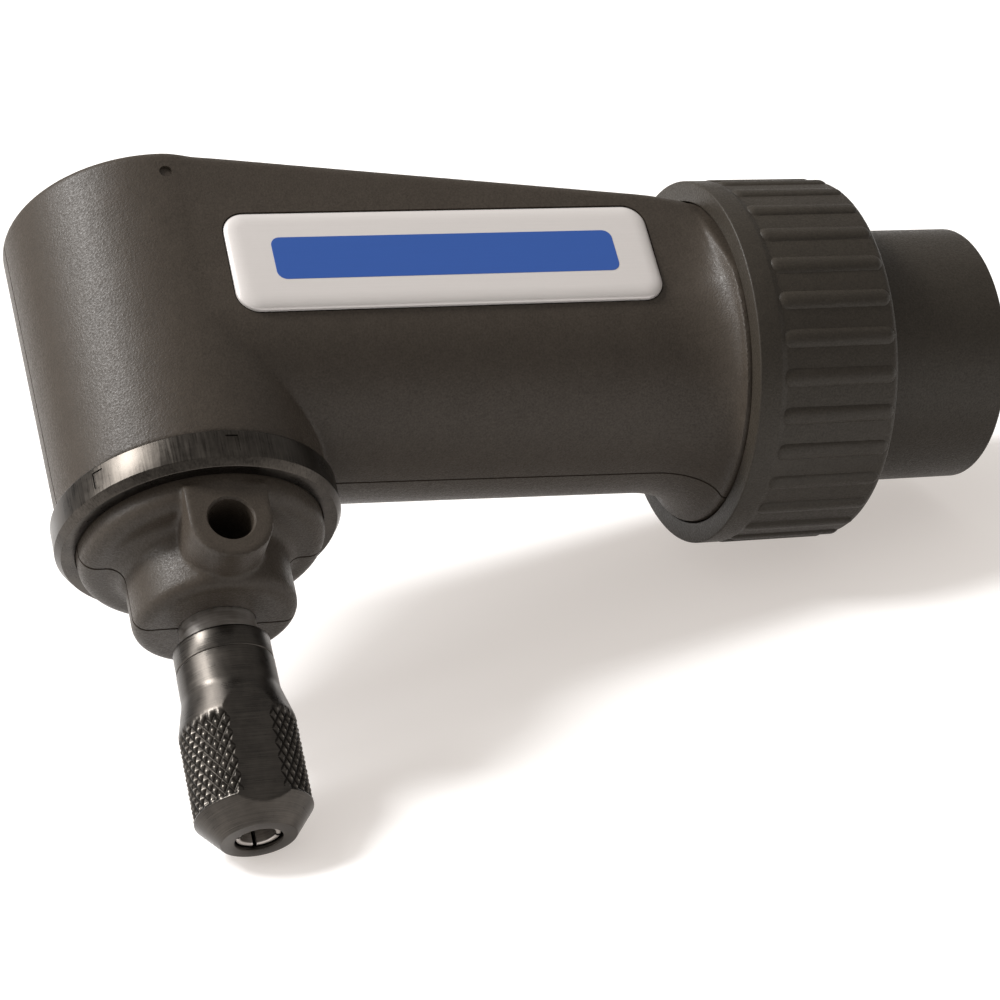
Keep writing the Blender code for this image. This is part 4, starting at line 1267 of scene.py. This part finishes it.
def addFloor():
    up = Vector(stage["up"]).normalized()
    lowest = min(up.dot(Vector(corner)) for corner in objectPoints())
    size = stage["floorSize"] / 2
    corners = [(-size, -size, 0), (size, -size, 0), (size, size, 0), (-size, size, 0)]
    floor = meshObject("floor", corners, [(0, 1, 2, 3)])
    side = up.orthogonal().normalized()
    turn = Matrix((side, up.cross(side), up)).transposed().to_4x4()
    floor.data.transform(Matrix.Translation(up * lowest) @ turn)
    material = bpy.data.materials.new("floorWhite")
    material.use_nodes = True
    tree = material.node_tree
    tree.nodes.remove(tree.nodes["Principled BSDF"])
    white = stage["floorWhite"]
    matt = addNode(tree, "ShaderNodeBsdfDiffuse", {"Color": (white, white, white, 1.0)}).outputs[0]
    rays = addNode(tree, "ShaderNodeLightPath").outputs
    seen = maths(tree, "MAXIMUM", rays["Is Camera Ray"], rays["Is Glossy Ray"])
    seen = maths(tree, "MAXIMUM", seen, rays["Is Transmission Ray"])
    lift = {"Color": (*stage["liftTint"], 1.0), "Strength": maths(tree, "MULTIPLY", seen, stage["cameraLift"])}
    glow = addNode(tree, "ShaderNodeEmission", lift).outputs[0]
    both = addNode(tree, "ShaderNodeAddShader", {0: matt, 1: glow}).outputs[0]
    # the object leans on this floor, so from behind it the floor is clear and doesn't hide the object
    behind = addNode(tree, "ShaderNodeNewGeometry").outputs["Backfacing"]
    hidden = maths(tree, "MULTIPLY", behind, rays["Is Camera Ray"])
    clear = addNode(tree, "ShaderNodeBsdfTransparent").outputs[0]
    shown = addNode(tree, "ShaderNodeMixShader", {0: hidden, 1: both, 2: clear}).outputs[0]
    tree.links.new(shown, tree.nodes["Material Output"].inputs["Surface"])
    floor.data.materials.append(material)
    return floor


def objectPoints():
    points = []
    for item in bpy.data.objects:
        if item.type == "MESH" and not item.hide_render and "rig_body" in item:
            points += [vertex.co for vertex in item.data.vertices]
    return points


# Lamps: where they stand in the picture as (right, up, towards the camera), with strength and softness.
lamps = {
    "key": {"kind": "SUN", "from": (-0.69, 0.68, 0.24), "strength": 2.6, "distance": 0.5, "angle": 16.0},
    "strip": {
        "kind": "AREA", "from": (-0.795, 0.556, 0.24), "strength": 2.8, "distance": 0.6, "wide": 0.12, "tall": 0.7,
    },
}


def lampWay(camera, values):
    right, up, back = camera.matrix_world.to_3x3().transposed()
    across, above, towards = values["from"]
    return (right * across + up * above + back * towards).normalized()


def addWorld(camera):
    # a studio that is brighter on the side of the key lamp
    world = bpy.data.worlds.new("studio")
    bpy.context.scene.world = world
    world.use_nodes = True
    tree = world.node_tree
    way = addNode(tree, "ShaderNodeTexCoord").outputs["Generated"]
    key = tuple(lampWay(camera, lamps["key"]))
    facing = addNode(tree, "ShaderNodeVectorMath", {0: way, 1: key}, operation="DOT_PRODUCT").outputs["Value"]
    level = spread(tree, facing, stage["dimSide"], stage["brightSide"], -1.0, 1.0)
    rays = addNode(tree, "ShaderNodeLightPath").outputs
    seen = maths(tree, "MAXIMUM", rays["Is Camera Ray"], rays["Is Transmission Ray"])
    strength = maths(tree, "MAXIMUM", level, seen)
    colour = blendColours(tree, seen, stage["warmth"], (1.0, 1.0, 1.0))
    setInputs(tree, tree.nodes["Background"], {"Strength": strength, "Color": colour})


def addLamps(camera):
    middle = (Vector(cadBounds[0]) + Vector(cadBounds[1])) / 2
    for name, values in lamps.items():
        data = bpy.data.lights.new(name, values["kind"])
        lamp = newObject(name, data)
        way = lampWay(camera, values)
        data.energy = values["strength"]
        if values["kind"] == "SUN":
            data.angle = math.radians(values["angle"])
        else:
            data.shape = "RECTANGLE"
            data.size = values["wide"]
            data.size_y = values["tall"]
        lamp.location = middle + way * values["distance"]
        across = camera.matrix_world.to_3x3().col[1].cross(way).normalized()
        turn = Matrix((across, way.cross(across), way)).transposed()
        lamp.rotation_euler = turn.to_euler()


print("stage")
camera = addCamera()
addFloor()
addWorld(camera)
addLamps(camera)
bpy.context.scene.view_settings.view_transform = "Standard"
